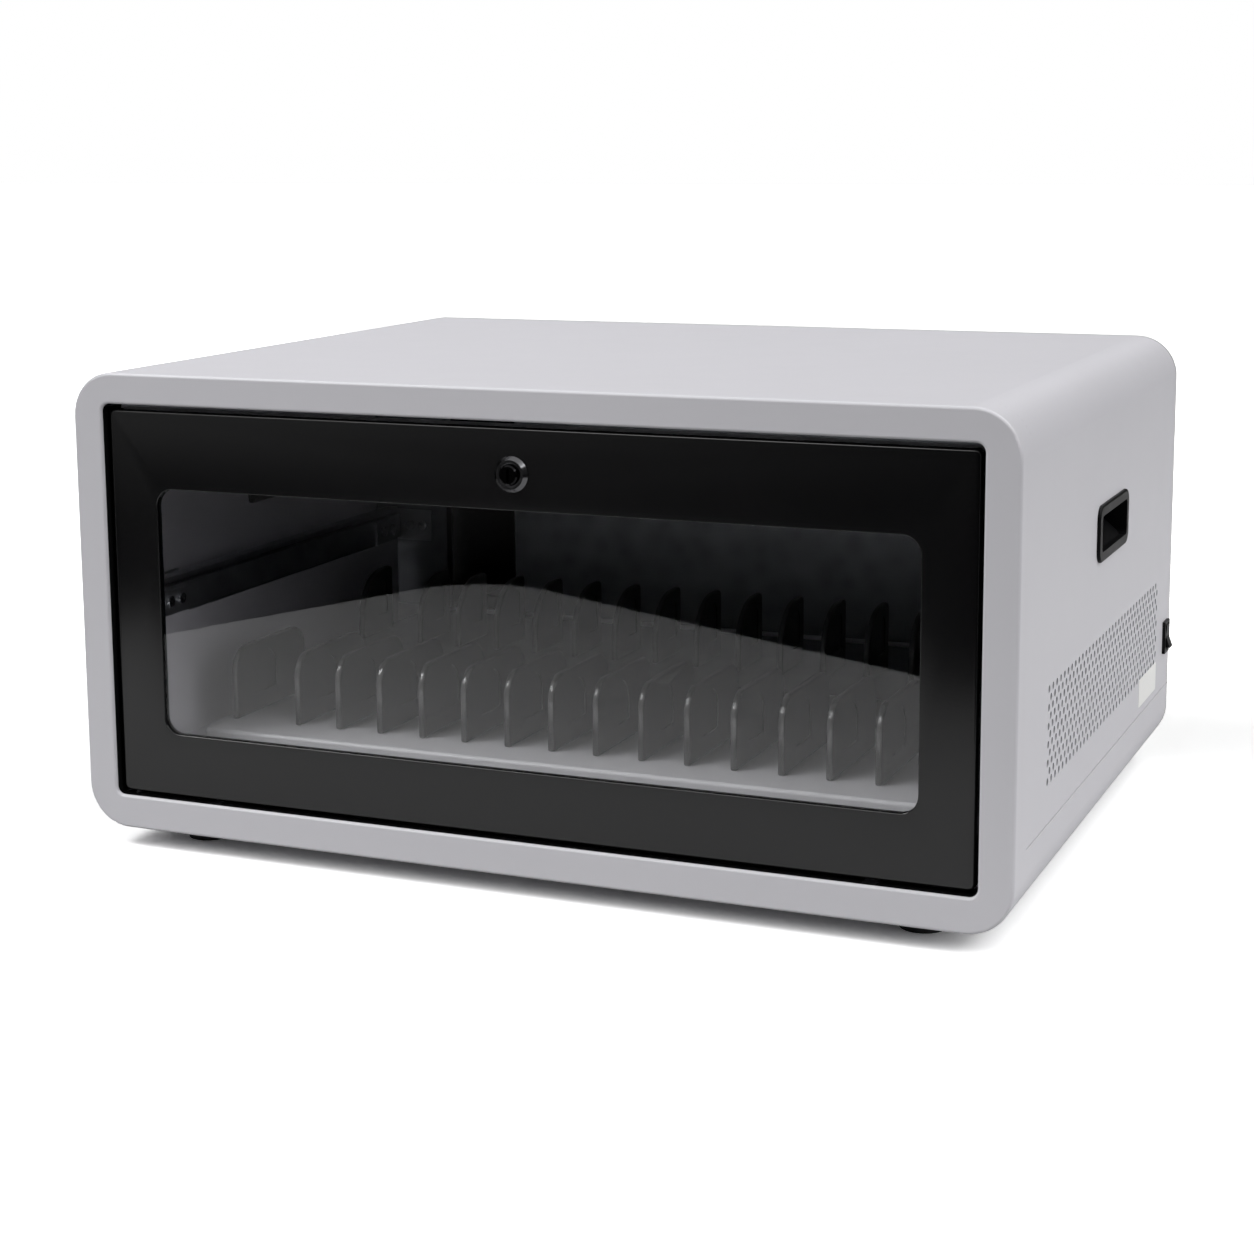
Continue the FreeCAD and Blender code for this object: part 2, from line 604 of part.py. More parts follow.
def switch_rocker():
    """Rocker with two pivot pins, tipped so that its lower half stands out."""
    well_y = grown(switch_hole(0.0)[0], -SWITCH_WALL * 2)
    rocker_y = grown(well_y, -ROCKER_SIDE_GAP)
    keel_z = ROCKER_HALF_LENGTH - ROCKER_KEEL / 2
    section = [
        (ROCKER_END_RISE, ROCKER_HALF_LENGTH),
        (ROCKER_VALLEY, 0.0),
        (ROCKER_END_RISE, -ROCKER_HALF_LENGTH),
        (-ROCKER_KEEL / 2, -keel_z),
        (-ROCKER_KEEL, 0.0),
        (-ROCKER_KEEL / 2, keel_z),
    ]
    points = [(ROCKER_PIVOT_X + x, SWITCH_Z + z) for x, z in section]
    pin_y = grown(well_y, ROCKER_PIN_LENGTH - ROCKER_SIDE_GAP)
    pivot = FreeCAD.Vector(ROCKER_PIVOT_X, pin_y[0], SWITCH_Z)
    pin = rod(pivot, ALONG_Y, ROCKER_PIN_RADIUS, pin_y[1] - pin_y[0])
    rocker = joined([outline_bar("Y", points, rocker_y), pin])
    rocker.rotate(pivot, ALONG_Y, -ROCKER_TILT)
    return rocker


# Inside: bulkhead, charger and wiring

def bracket_screw_seats():
    """Places on the right rear bracket where it is screwed to the bulkhead."""
    y = BULKHEAD_Y[0] - SHEET
    middle = SLIDE_OUTSIDE + SHEET - REAR_BRACKET_LEG * 2 / 3
    return [FreeCAD.Vector(x, y, SLIDE_Z) for x in around(middle, BRACKET_SCREW_PITCH)]


def mirrored_point(point):
    """The same place on the other side of the cabinet."""
    return FreeCAD.Vector(-point.x, point.y, point.z)


def both_sides(points):
    """Places on the right side and on the left side."""
    return points + [mirrored_point(point) for point in points]


def standoff_places():
    """X and Z of the four board stand-offs."""
    xs = grown(BOARD_X, -STANDOFF_INSET)
    zs = grown(BOARD_Z, -STANDOFF_INSET)
    return [(x, z) for x in xs for z in zs]


def bulkhead():
    """Partition behind the drawer, with a cable gap, a foot and stand-offs for the charger board."""
    section = body_bar(2 * SHEET + BULKHEAD_SIDE_GAP, BULKHEAD_Y)
    above = block((-SIDE, SIDE), grown(BULKHEAD_Y, PASS), (BULKHEAD_TOP, TOP))
    plate = section.cut([above, block(CABLE_GAP_X, grown(BULKHEAD_Y, PASS), CABLE_GAP_Z)])
    floor = UNDERSIDE + SHEET
    foot_x = grown((-SIDE, SIDE), -BULKHEAD_FLANGE_INSET)
    foot = block(foot_x, (BULKHEAD_Y[0], BULKHEAD_Y[1] + BULKHEAD_FLANGE), (floor, floor + SHEET))
    shin = block(foot_x, BULKHEAD_Y, (floor, floor + 4 * SHEET))
    edge_x = (CABLE_GAP_X[0] - SHEET, CABLE_GAP_X[0])
    edge = block(edge_x, (BULKHEAD_Y[0] - BULKHEAD_FLANGE, BULKHEAD_Y[1]), CABLE_GAP_Z)
    posts = [
        rod(FreeCAD.Vector(x, BULKHEAD_Y[1], z), ALONG_Y, STANDOFF_RADIUS, STANDOFF_LENGTH)
        for x, z in standoff_places()
    ]
    wall = joined([plate, foot, shin, edge] + posts)
    return drilled(wall, both_sides(bracket_screw_seats()), ALONG_Y, SCREW_REACH)


def charger_board():
    """Circuit board that feeds the charging sockets."""
    return block(BOARD_X, BOARD_Y, BOARD_Z)


def usb_sockets():
    """One upright charging socket for each divider bay, in a row along the board's top edge."""
    count = DIVIDER_COUNT - 1
    y = (BOARD_Y[1], BOARD_Y[1] + SOCKET_DEPTH)
    z = (BOARD_Z[1] - SOCKET_HEIGHT, BOARD_Z[1])
    row = grown(BOARD_X, -SOCKET_MARGIN)
    pitch = (row[1] - row[0]) / (count - 1)
    shapes = []
    for number in range(count):
        x = around(row[0] + number * pitch, SOCKET_WIDTH)
        well_z = (z[1] - SOCKET_WELL, z[1] + PASS)
        well = block(grown(x, -SOCKET_WALL), grown(y, -SOCKET_WALL), well_z)
        tongue_y = (y[0] + SOCKET_WALL, y[0] + SOCKET_WALL + SOCKET_TONGUE)
        tongue = block(grown(x, -2 * SOCKET_WALL), tongue_y, well_z)
        tongue = tongue.common(block(x, y, z))
        shapes.append(joined([block(x, y, z).cut(well), tongue]))
    return group(shapes)


def power_supply():
    """Enclosed supply that stands on the base pan."""
    case = block(SUPPLY_X, SUPPLY_Y, SUPPLY_Z)
    upright = [edge for edge in case.Edges if edge.BoundBox.ZLength > PASS]
    return case.makeFillet(SUPPLY_EDGE, upright)


def power_inlet():
    """Appliance inlet in the rear panel: flange, housing and an open well."""
    flange_y = (REAR, REAR + INLET_FLANGE)
    flange_x, flange_z = around(INLET_X, INLET_FLANGE_WIDTH), around(INLET_Z, INLET_FLANGE_HEIGHT)
    flange = rounded_bar("Y", flange_x, flange_z, INLET_RADIUS, flange_y)
    body_x, body_z = around(INLET_X, INLET_BODY_WIDTH), around(INLET_Z, INLET_BODY_HEIGHT)
    body = rounded_bar("Y", body_x, body_z, INLET_RADIUS, (REAR - INLET_BODY_DEPTH, REAR))
    well_x, well_z = around(INLET_X, INLET_WELL_WIDTH), around(INLET_Z, INLET_WELL_HEIGHT)
    well_y = (flange_y[1] - INLET_WELL_DEPTH, flange_y[1] + PASS)
    return joined([flange, body]).cut(rounded_bar("Y", well_x, well_z, INLET_RADIUS, well_y))


def inlet_pins():
    """Three contact blades on the floor of the inlet's well."""
    floor = REAR + INLET_FLANGE - INLET_WELL_DEPTH
    places = [(-BLADE_SPREAD / 2, 0.0), (BLADE_SPREAD / 2, 0.0), (0.0, EARTH_RAISE)]
    shapes = []
    for x, z in places:
        blade_x, blade_z = around(INLET_X + x, BLADE_THICKNESS), around(INLET_Z + z, BLADE_HEIGHT)
        shapes.append(block(blade_x, (floor, floor + BLADE_LENGTH), blade_z))
    return group(shapes)


def lead(points):
    """Round lead along straight runs, with the largest bends that the runs allow."""
    edges = []
    start = points[0]
    for before, corner, after in zip(points, points[1:], points[2:]):
        into = (corner - before).normalize()
        out = (after - corner).normalize()
        turn = into.getAngle(out)
        tangent = LEAD_BEND_SHARE * min(corner.distanceToPoint(before), after.distanceToPoint(corner))
        bend = tangent / math.tan(turn / 2)
        inward = (out - into).normalize()
        begin, end = corner - into * tangent, corner + out * tangent
        middle = corner + inward * (bend / math.cos(turn / 2) - bend)
        edges += [Part.makeLine(start, begin), Part.Arc(begin, middle, end).toShape()]
        start = end
    edges.append(Part.makeLine(start, points[-1]))
    ring = Part.Wire(Part.makeCircle(LEAD_RADIUS, points[0], points[1] - points[0]))
    return Part.Wire(edges).makePipeShell([ring], True, True)


def wiring():
    """Leads from the inlet to the supply, from the supply to the switch and up to the board."""
    inlet_back = REAR - INLET_BODY_DEPTH
    run_y = inlet_back - LEAD_OFFSET
    mains = lead([
        FreeCAD.Vector(INLET_X, inlet_back, INLET_Z),
        FreeCAD.Vector(INLET_X, run_y, INLET_Z),
        FreeCAD.Vector(SUPPLY_X[0], run_y, INLET_Z),
    ])
    switch_back = SIDE - SWITCH_BODY_DEPTH
    switch_start = FreeCAD.Vector(SUPPLY_X[1], SWITCH_Y, SWITCH_Z)
    switched = rod(switch_start, ALONG_X, LEAD_RADIUS, switch_back - SUPPLY_X[1])
    rise_x = sum(SUPPLY_X) / 2
    rise_y = BOARD_Y[1] + LEAD_OFFSET
    board_z = sum(BOARD_Z) / 2
    low_voltage = lead([
        FreeCAD.Vector(rise_x, rise_y, SUPPLY_Z[1]),
        FreeCAD.Vector(rise_x, rise_y, board_z),
        FreeCAD.Vector(rise_x, BOARD_Y[1], board_z),
    ])
    return group([mains, switched, low_voltage])


# Ball slides

def rail_screw_seats():
    """Places on the web of the right outer rail where it is screwed to its brackets."""
    x = SLIDE_OUTSIDE - SLIDE_SHEET
    front = SLIDE_Y[0] + LUG_INSET + BRACKET_LENGTH / 2
    rear = SLIDE_Y[1] - BRACKET_LENGTH / 2
    ys = [y for middle in (front, rear) for y in around(middle, BRACKET_SCREW_PITCH)]
    return [FreeCAD.Vector(x, y, SLIDE_Z) for y in ys]


def drawer_screw_seats():
    """Places on the drawer's right lugs where the inner rail is screwed on."""
    middles = [sum(LUG_FRONT_Y) / 2, sum(LUG_REAR_Y) / 2]
    ys = [y for middle in middles for y in around(middle, LUG_SCREW_PITCH)]
    return [FreeCAD.Vector(DRAWER_SIDE_X[0], y, SLIDE_Z) for y in ys]


def slide_outer():
    """Fixed rail on the right: a channel with lips, open towards the drawer."""
    lip_x = INNER_INSIDE + SLIDE_SHEET + SLIDE_RUNNING_GAP
    half = SLIDE_HEIGHT / 2
    shapes = [block((SLIDE_OUTSIDE - SLIDE_SHEET, SLIDE_OUTSIDE), SLIDE_Y, grown((SLIDE_Z, SLIDE_Z), half))]
    for sign in (-1, 1):
        flange = sorted((SLIDE_Z + sign * half, SLIDE_Z + sign * (half - SLIDE_SHEET)))
        lip = sorted((SLIDE_Z + sign * half, SLIDE_Z + sign * (half - SLIDE_SHEET - SLIDE_LIP)))
        shapes.append(block((lip_x, SLIDE_OUTSIDE), SLIDE_Y, flange))
        shapes.append(block((lip_x, lip_x + SLIDE_SHEET), SLIDE_Y, lip))
    return drilled(joined(shapes), rail_screw_seats(), ALONG_X, SCREW_REACH)


def slide_inner():
    """Moving rail on the right: a smaller channel, fixed to the drawer's lugs."""
    half = INNER_HEIGHT / 2
    shapes = [block((INNER_INSIDE, INNER_INSIDE + SLIDE_SHEET), SLIDE_Y, grown((SLIDE_Z, SLIDE_Z), half))]
    for sign in (-1, 1):
        flange = sorted((SLIDE_Z + sign * half, SLIDE_Z + sign * (half - SLIDE_SHEET)))
        shapes.append(block((INNER_INSIDE, INNER_OUTSIDE), SLIDE_Y, flange))
    return drilled(joined(shapes), drawer_screw_seats(), ALONG_X, SCREW_REACH)


def slide_cage():
    """Ball cage on the right: a strip with a row of balls along each edge."""
    ball_z = (INNER_HEIGHT / 2 + SLIDE_HEIGHT / 2 - SLIDE_SHEET) / 2
    lip_inside = INNER_INSIDE + 2 * SLIDE_SHEET + SLIDE_RUNNING_GAP
    ball_x = lip_inside + BALL_RADIUS + FITTING_GAP
    strip_x = (ball_x + BALL_RADIUS - FITTING_GAP, ball_x + BALL_RADIUS - FITTING_GAP + CAGE_STRIP)
    start = SLIDE_Y[0] + CAGE_START_SHARE * (SLIDE_Y[1] - SLIDE_Y[0])
    strip_y = (start, start + BALLS_PER_ROW * BALL_PITCH)
    shapes = [block(strip_x, strip_y, grown((SLIDE_Z, SLIDE_Z), ball_z + CAGE_STRIP))]
    for number in range(BALLS_PER_ROW):
        for sign in (-1, 1):
            centre = FreeCAD.Vector(ball_x, start + (number + 0.5) * BALL_PITCH, SLIDE_Z + sign * ball_z)
            shapes.append(Part.makeSphere(BALL_RADIUS, centre))
    return joined(shapes)


def rail_brackets():
    """Z brackets on the side walls and L brackets on the bulkhead, which carry the outer rails."""
    crown_x = (SLIDE_OUTSIDE, SLIDE_OUTSIDE + SHEET)
    z = around(SLIDE_Z, BRACKET_HEIGHT)
    front_y = (SLIDE_Y[0] + LUG_INSET, SLIDE_Y[0] + LUG_INSET + BRACKET_LENGTH)
    wall = SIDE - SHEET
    front = joined([
        block(crown_x, front_y, z),
        block((SLIDE_OUTSIDE, wall), (front_y[1] - SHEET, front_y[1]), z),
        block((wall - SHEET, wall), (front_y[1] - SHEET, front_y[1] + BRACKET_FOOT), z),
    ])
    rear = joined([
        block(crown_x, (SLIDE_Y[1] - BRACKET_LENGTH, BULKHEAD_Y[0]), z),
        block((crown_x[1] - REAR_BRACKET_LEG, crown_x[1]), (BULKHEAD_Y[0] - SHEET, BULKHEAD_Y[0]), z),
    ])
    front = drilled(front, rail_screw_seats(), ALONG_X, SCREW_REACH)
    rear = drilled(rear, rail_screw_seats(), ALONG_X, SCREW_REACH)
    rear = drilled(rear, bracket_screw_seats(), ALONG_Y, SCREW_REACH)
    return group([front, rear, mirrored(front), mirrored(rear)])


# Drawer

def drawer_pan():
    """Folded pan with low sides, a back and lugs that reach up to the inner rails."""
    floor_x = (-DRAWER_SIDE_X[1], DRAWER_SIDE_X[1])
    floor_z = (FLOOR_TOP - SHEET, FLOOR_TOP)
    back_z = (FLOOR_TOP, FLOOR_TOP + DRAWER_BACK_HEIGHT)
    floor = block(floor_x, (FRONT + DRAWER_FLOOR_SETBACK, DRAWER_Y[1]), floor_z)
    back = block(floor_x, (DRAWER_Y[1] - SHEET, DRAWER_Y[1]), back_z)
    side = joined([
        block(DRAWER_SIDE_X, DRAWER_Y, (floor_z[0], DRAWER_SIDE_TOP)),
        block(DRAWER_SIDE_X, LUG_FRONT_Y, (floor_z[0], SLIDE_Z + LUG_RISE)),
        block(DRAWER_SIDE_X, LUG_REAR_Y, (floor_z[0], SLIDE_Z + LUG_RISE)),
    ])
    side = drilled(side, drawer_screw_seats(), ALONG_X, SCREW_REACH)
    return joined([floor, back, side, mirrored(side)])


def insert_base():
    """Moulded tray on the drawer's floor, hollow underneath, that the front fins stand on."""
    x = (-INSERT_X, INSERT_X)
    tray = block(x, INSERT_Y, (FLOOR_TOP, INSERT_TOP))
    nose = [edge for edge in edges_at(tray, "Y", INSERT_Y[0]) if edge.BoundBox.ZMin > FLOOR_TOP + PASS]
    tray = tray.makeFillet(INSERT_EDGE, nose)
    hollow_z = (FLOOR_TOP - PASS, INSERT_TOP - INSERT_WALL)
    return tray.cut(block(grown(x, -INSERT_WALL), grown(INSERT_Y, -INSERT_WALL), hollow_z))


def rear_riser():
    """Raised base under the rear fins, hollow underneath."""
    x, y = (-INSERT_X, INSERT_X), (INSERT_STEP_Y, INSERT_Y[1])
    riser = block(x, y, (INSERT_TOP, INSERT_STEP_TOP))
    hollow_z = (INSERT_TOP - PASS, INSERT_STEP_TOP - INSERT_WALL)
    return riser.cut(block(grown(x, -INSERT_WALL), grown(y, -INSERT_WALL), hollow_z))


def divider_places():
    """X of each divider: a wide first bay, then an even pitch."""
    first = -DIVIDER_SPAN / 2
    second = first + DIVIDER_FIRST_BAY
    return [first] + [second + number * DIVIDER_PITCH for number in range(DIVIDER_COUNT - 1)]


def fin(x, y, z, radii, pocket_width):
    """One divider fin with a round nose, a round tail and an arched pocket in each side."""
    span = around(x, DIVIDER_THICKNESS)
    plate = block(span, y, z)
    for end, radius in zip(y, radii):
        top = [edge for edge in edges_at(plate, "Y", end) if edge.BoundBox.ZMin > z[0] + PASS]
        plate = plate.makeFillet(radius, top)
    pocket_y = (y[0] + FIN_POCKET_INSET, y[0] + FIN_POCKET_INSET + pocket_width)
    arch = pocket_width / 2
    spring = z[1] - FIN_POCKET_BAND - arch
    pockets = []
    for reach in ((span[0] - PASS, span[0] + FIN_POCKET_DEPTH), (span[1] - FIN_POCKET_DEPTH, span[1] + PASS)):
        crown = rod(FreeCAD.Vector(reach[0], pocket_y[0] + arch, spring), ALONG_X, arch, reach[1] - reach[0])
        pockets += [crown, block(reach, pocket_y, (z[0] + FIN_POCKET_RISE, spring))]
    return plate.cut(pockets)


def divider(x):
    """Front and rear fin of one divider."""
    front_y = (FRONT_FIN_START, FRONT_FIN_START + FRONT_FIN_LENGTH)
    front_z = (INSERT_TOP, INSERT_TOP + FRONT_FIN_HEIGHT)
    front = fin(x, front_y, front_z, FRONT_FIN_RADII, FRONT_POCKET_WIDTH)
    rear_y = (REAR_FIN_START, REAR_FIN_START + REAR_FIN_LENGTH)
    rear_z = (INSERT_STEP_TOP, INSERT_STEP_TOP + REAR_FIN_HEIGHT)
    rear = fin(x, rear_y, rear_z, REAR_FIN_RADII, REAR_POCKET_WIDTH)
    return group([front, rear])


def hinge_brackets():
    """Two brackets under the drawer's floor, each with the ear that carries one of the door's hinge pins."""
    ear_x = around(HINGE_X, HINGE_EAR_WIDTH)
    floor = FLOOR_TOP - SHEET
    web_y = (FRONT + DRAWER_FLOOR_SETBACK, FRONT + DRAWER_FLOOR_SETBACK + HINGE_WEB)
    arm_z = grown((HINGE_Z, HINGE_Z), HINGE_EAR_RADIUS)
    flange_y = (web_y[0], web_y[0] + HINGE_FLANGE_LENGTH)
    axis_start = FreeCAD.Vector(ear_x[0], HINGE_Y, HINGE_Z)
    bracket = joined([
        rod(axis_start, ALONG_X, HINGE_EAR_RADIUS, HINGE_EAR_WIDTH),
        block(ear_x, (HINGE_Y, web_y[1]), arm_z),
        block(ear_x, web_y, (arm_z[0], floor)),
        block(around(HINGE_X, HINGE_FLANGE_WIDTH), flange_y, (floor - HINGE_WEB, floor)),
    ])
    bore_start = axis_start - ALONG_X * PASS
    bore = rod(bore_start, ALONG_X, HINGE_PIN_RADIUS + RUNNING_FIT, HINGE_EAR_WIDTH + 2 * PASS)
    right = bracket.cut(bore)
    return group([right, mirrored(right)])


# Door

def stud_places():
    """X and Z of the studs round the window."""
    xs = grown((-WINDOW_X, WINDOW_X), STUD_OFFSET)
    zs = grown(WINDOW_Z, STUD_OFFSET)
    corners = [(x, z) for x in xs for z in zs]
    sides = [(x, sum(WINDOW_Z) / 2) for x in xs]
    return corners + sides + [(x, z) for x in grown((0.0, 0.0), STUD_SPREAD_SHARE * WINDOW_X) for z in zs]


def stud_bars(radius, y):
    """A round bar along Y at the place of each stud."""
    return [rod(FreeCAD.Vector(x, y[0], z), ALONG_Y, radius, y[1] - y[0]) for x, z in stud_places()]


def lock_bar(radius, y):
    """Round bar on the lock's axis."""
    return rod(FreeCAD.Vector(0, y[0], LOCK_Z), ALONG_Y, radius, y[1] - y[0])


def hinge_cut():
    """Slot through the door's bottom return at the right hinge ear."""
    x = grown(around(HINGE_X, HINGE_EAR_WIDTH), HINGE_SIDE_GAP)
    return block(x, (SKIN_BACK, DOOR_BACK + PASS), (DOOR_Z[0] - PASS, HINGE_Z))


def door_panel():
    """Folded door: front skin with the window and four returns, with welded studs."""
    outer = rounded_bar("Y", (-DOOR_X, DOOR_X), DOOR_Z, DOOR_RADIUS, (DOOR_FRONT, DOOR_BACK))
    outer = outer.makeFillet(DOOR_EDGE, edges_at(outer, "Y", DOOR_FRONT))
    inner_x, inner_z = grown((-DOOR_X, DOOR_X), -DOOR_SHEET), grown(DOOR_Z, -DOOR_SHEET)
    hollow = rounded_bar("Y", inner_x, inner_z, DOOR_RADIUS - DOOR_SHEET, (SKIN_BACK, DOOR_BACK + PASS))
    window_y = grown((DOOR_FRONT, SKIN_BACK), PASS)
    window = rounded_bar("Y", (-WINDOW_X, WINDOW_X), WINDOW_Z, WINDOW_RADIUS, window_y)
    barrel = lock_bar(LOCK_BARREL_RADIUS + FIXED_FIT, window_y)
    shell = outer.cut([hollow, window, barrel, hinge_cut(), mirrored(hinge_cut())])
    frame_x, frame_z = grown((-WINDOW_X, WINDOW_X), PASS), grown(WINDOW_Z, PASS)
    frame = block(frame_x, grown((DOOR_FRONT, DOOR_FRONT), PASS), frame_z)
    shell = shell.makeFillet(WINDOW_EDGE, edges_at(shell, "Y", DOOR_FRONT, frame.BoundBox))
    stud_length = PANE_THICKNESS + RETAINER_THICKNESS + NUT_HEIGHT + PASS
    return joined([shell] + stud_bars(STUD_RADIUS, (SKIN_BACK, SKIN_BACK + stud_length)))


def window_pane():
    """Smoked acrylic sheet behind the window."""
    x, z = grown((-WINDOW_X, WINDOW_X), PANE_OVERLAP), grown(WINDOW_Z, PANE_OVERLAP)
    return rounded_bar("Y", x, z, WINDOW_RADIUS, (SKIN_BACK, SKIN_BACK + PANE_THICKNESS))


def pane_retainer():
    """Flat frame that clamps the pane, notched for the lock."""
    y = (SKIN_BACK + PANE_THICKNESS, SKIN_BACK + PANE_THICKNESS + RETAINER_THICKNESS)
    x, z = grown((-WINDOW_X, WINDOW_X), RETAINER_REACH), grown(WINDOW_Z, RETAINER_REACH)
    outer = rounded_bar("Y", x, z, WINDOW_RADIUS, y)
    window = rounded_bar("Y", (-WINDOW_X, WINDOW_X), WINDOW_Z, WINDOW_RADIUS, grown(y, PASS))
    notch = block(around(0.0, RETAINER_NOTCH), grown(y, PASS), (WINDOW_Z[1] + PANE_OVERLAP, z[1] + PASS))
    return outer.cut([window, notch] + stud_bars(STUD_RADIUS + FIXED_FIT, grown(y, PASS)))


def retainer_nuts():
    """Hexagon nuts on the studs."""
    start = SKIN_BACK + PANE_THICKNESS + RETAINER_THICKNESS
    y = (start, start + NUT_HEIGHT)
    threads = stud_bars(STUD_RADIUS + FIXED_FIT, grown(y, PASS))
    nuts = [hexagon_bar(place, NUT_ACROSS_FLATS, y) for place in stud_places()]
    return group([nut.cut(thread) for nut, thread in zip(nuts, threads)])


def hinge_lug_span():
    """X span of the right hinge block, over both of its lugs."""
    return around(HINGE_X, HINGE_EAR_WIDTH + 2 * HINGE_SIDE_GAP + 2 * HINGE_LUG_WIDTH)


def hinge_blocks():
    """Two clevis blocks inside the door's bottom edge, each with a lug on both sides of its ear."""
    x = hinge_lug_span()
    half = HINGE_Y - SKIN_BACK
    top = HINGE_Z + HINGE_EAR_RADIUS + HINGE_SIDE_GAP + HINGE_BRIDGE
    clevis = block(x, (SKIN_BACK, HINGE_Y + half), (DOOR_Z[0] + DOOR_SHEET, top))
    gap_x = grown(around(HINGE_X, HINGE_EAR_WIDTH), HINGE_SIDE_GAP)
    gap = block(gap_x, grown((SKIN_BACK, HINGE_Y + half), PASS), (DOOR_Z[0], top - HINGE_BRIDGE))
    bore_start = FreeCAD.Vector(x[0] - PASS, HINGE_Y, HINGE_Z)
    bore = rod(bore_start, ALONG_X, HINGE_PIN_RADIUS + FIXED_FIT, x[1] - x[0] + 2 * PASS)
    right = clevis.cut([gap, bore])
    return group([right, mirrored(right)])


def hinge_pins():
    """Two hinge pins, held by the door's blocks and turning in the drawer's ears."""
    x = hinge_lug_span()
    right = rod(FreeCAD.Vector(x[0], HINGE_Y, HINGE_Z), ALONG_X, HINGE_PIN_RADIUS, x[1] - x[0])
    return group([right, mirrored(right)])


# Lock

def lock_body():
    """Bevelled bezel in front of the door skin and a round barrel behind it, bored for the plug."""
    face = DOOR_FRONT - LOCK_BEZEL_HEIGHT
    bevel = LOCK_BEZEL_RADIUS - LOCK_BEZEL_FACE_RADIUS
    start = FreeCAD.Vector(0, face, LOCK_Z)
    nose = Part.makeCone(LOCK_BEZEL_FACE_RADIUS, LOCK_BEZEL_RADIUS, bevel, start, ALONG_Y)
    rim = lock_bar(LOCK_BEZEL_RADIUS, (face + bevel, DOOR_FRONT))
    end = CAM_Y[0] - FITTING_GAP
    body = joined([nose, rim, lock_bar(LOCK_BARREL_RADIUS, (DOOR_FRONT, end))])
    return body.cut(lock_bar(LOCK_PLUG_RADIUS + RUNNING_FIT, grown((face, end), PASS)))


def lock_nut():
    """Hexagon nut that holds the lock to the door skin."""
    y = (SKIN_BACK, SKIN_BACK + LOCK_NUT_HEIGHT)
    thread = lock_bar(LOCK_BARREL_RADIUS + FIXED_FIT, grown(y, PASS))
    return hexagon_bar((0.0, LOCK_Z), LOCK_NUT_ACROSS_FLATS, y).cut(thread)


def lock_plug():
    """Turning plug with an upright key slot and a square tail for the cam."""
    nose = DOOR_FRONT - LOCK_BEZEL_HEIGHT - LOCK_PLUG_NOSE
    plug = lock_bar(LOCK_PLUG_RADIUS, (nose, CAM_Y[0]))
    plug = plug.makeChamfer(LOCK_PLUG_EDGE, edges_at(plug, "Y", nose))
    tail = block(around(0.0, CAM_SQUARE), CAM_Y, around(LOCK_Z, CAM_SQUARE))
    slot_y = (nose - PASS, nose + KEY_SLOT_DEPTH)
    slot = block(around(0.0, KEY_SLOT_WIDTH), slot_y, around(LOCK_Z, KEY_SLOT_LENGTH))
    thread = lock_bar(SCREW_RADIUS + FIXED_FIT, (CAM_Y[0] - SCREW_REACH, CAM_Y[1] + PASS))
    return joined([plug, tail]).cut([slot, thread])


def lock_cam():
    """Flat cam, lying level in the unlocked position, long enough to hook behind the opening's liner."""
    reach = OPENING_Z[1] - LOCK_Z + CAM_HOOK
    radius = CAM_WIDTH / 2 - FITTING_GAP
    plate = rounded_bar("Y", (-CAM_WIDTH / 2, reach), around(LOCK_Z, CAM_WIDTH), radius, CAM_Y)
    square = grown(around(0.0, CAM_SQUARE), FIXED_FIT)
    hole = block(square, grown(CAM_Y, PASS), grown(around(LOCK_Z, CAM_SQUARE), FIXED_FIT))
    return plate.cut(hole)


def cam_screw():
    """Screw that holds the cam on the plug's tail."""
    return screw(FreeCAD.Vector(0, CAM_Y[1], LOCK_Z), ALONG_Y.negative(), CAM_THICKNESS + SCREW_REACH)


# Assembly

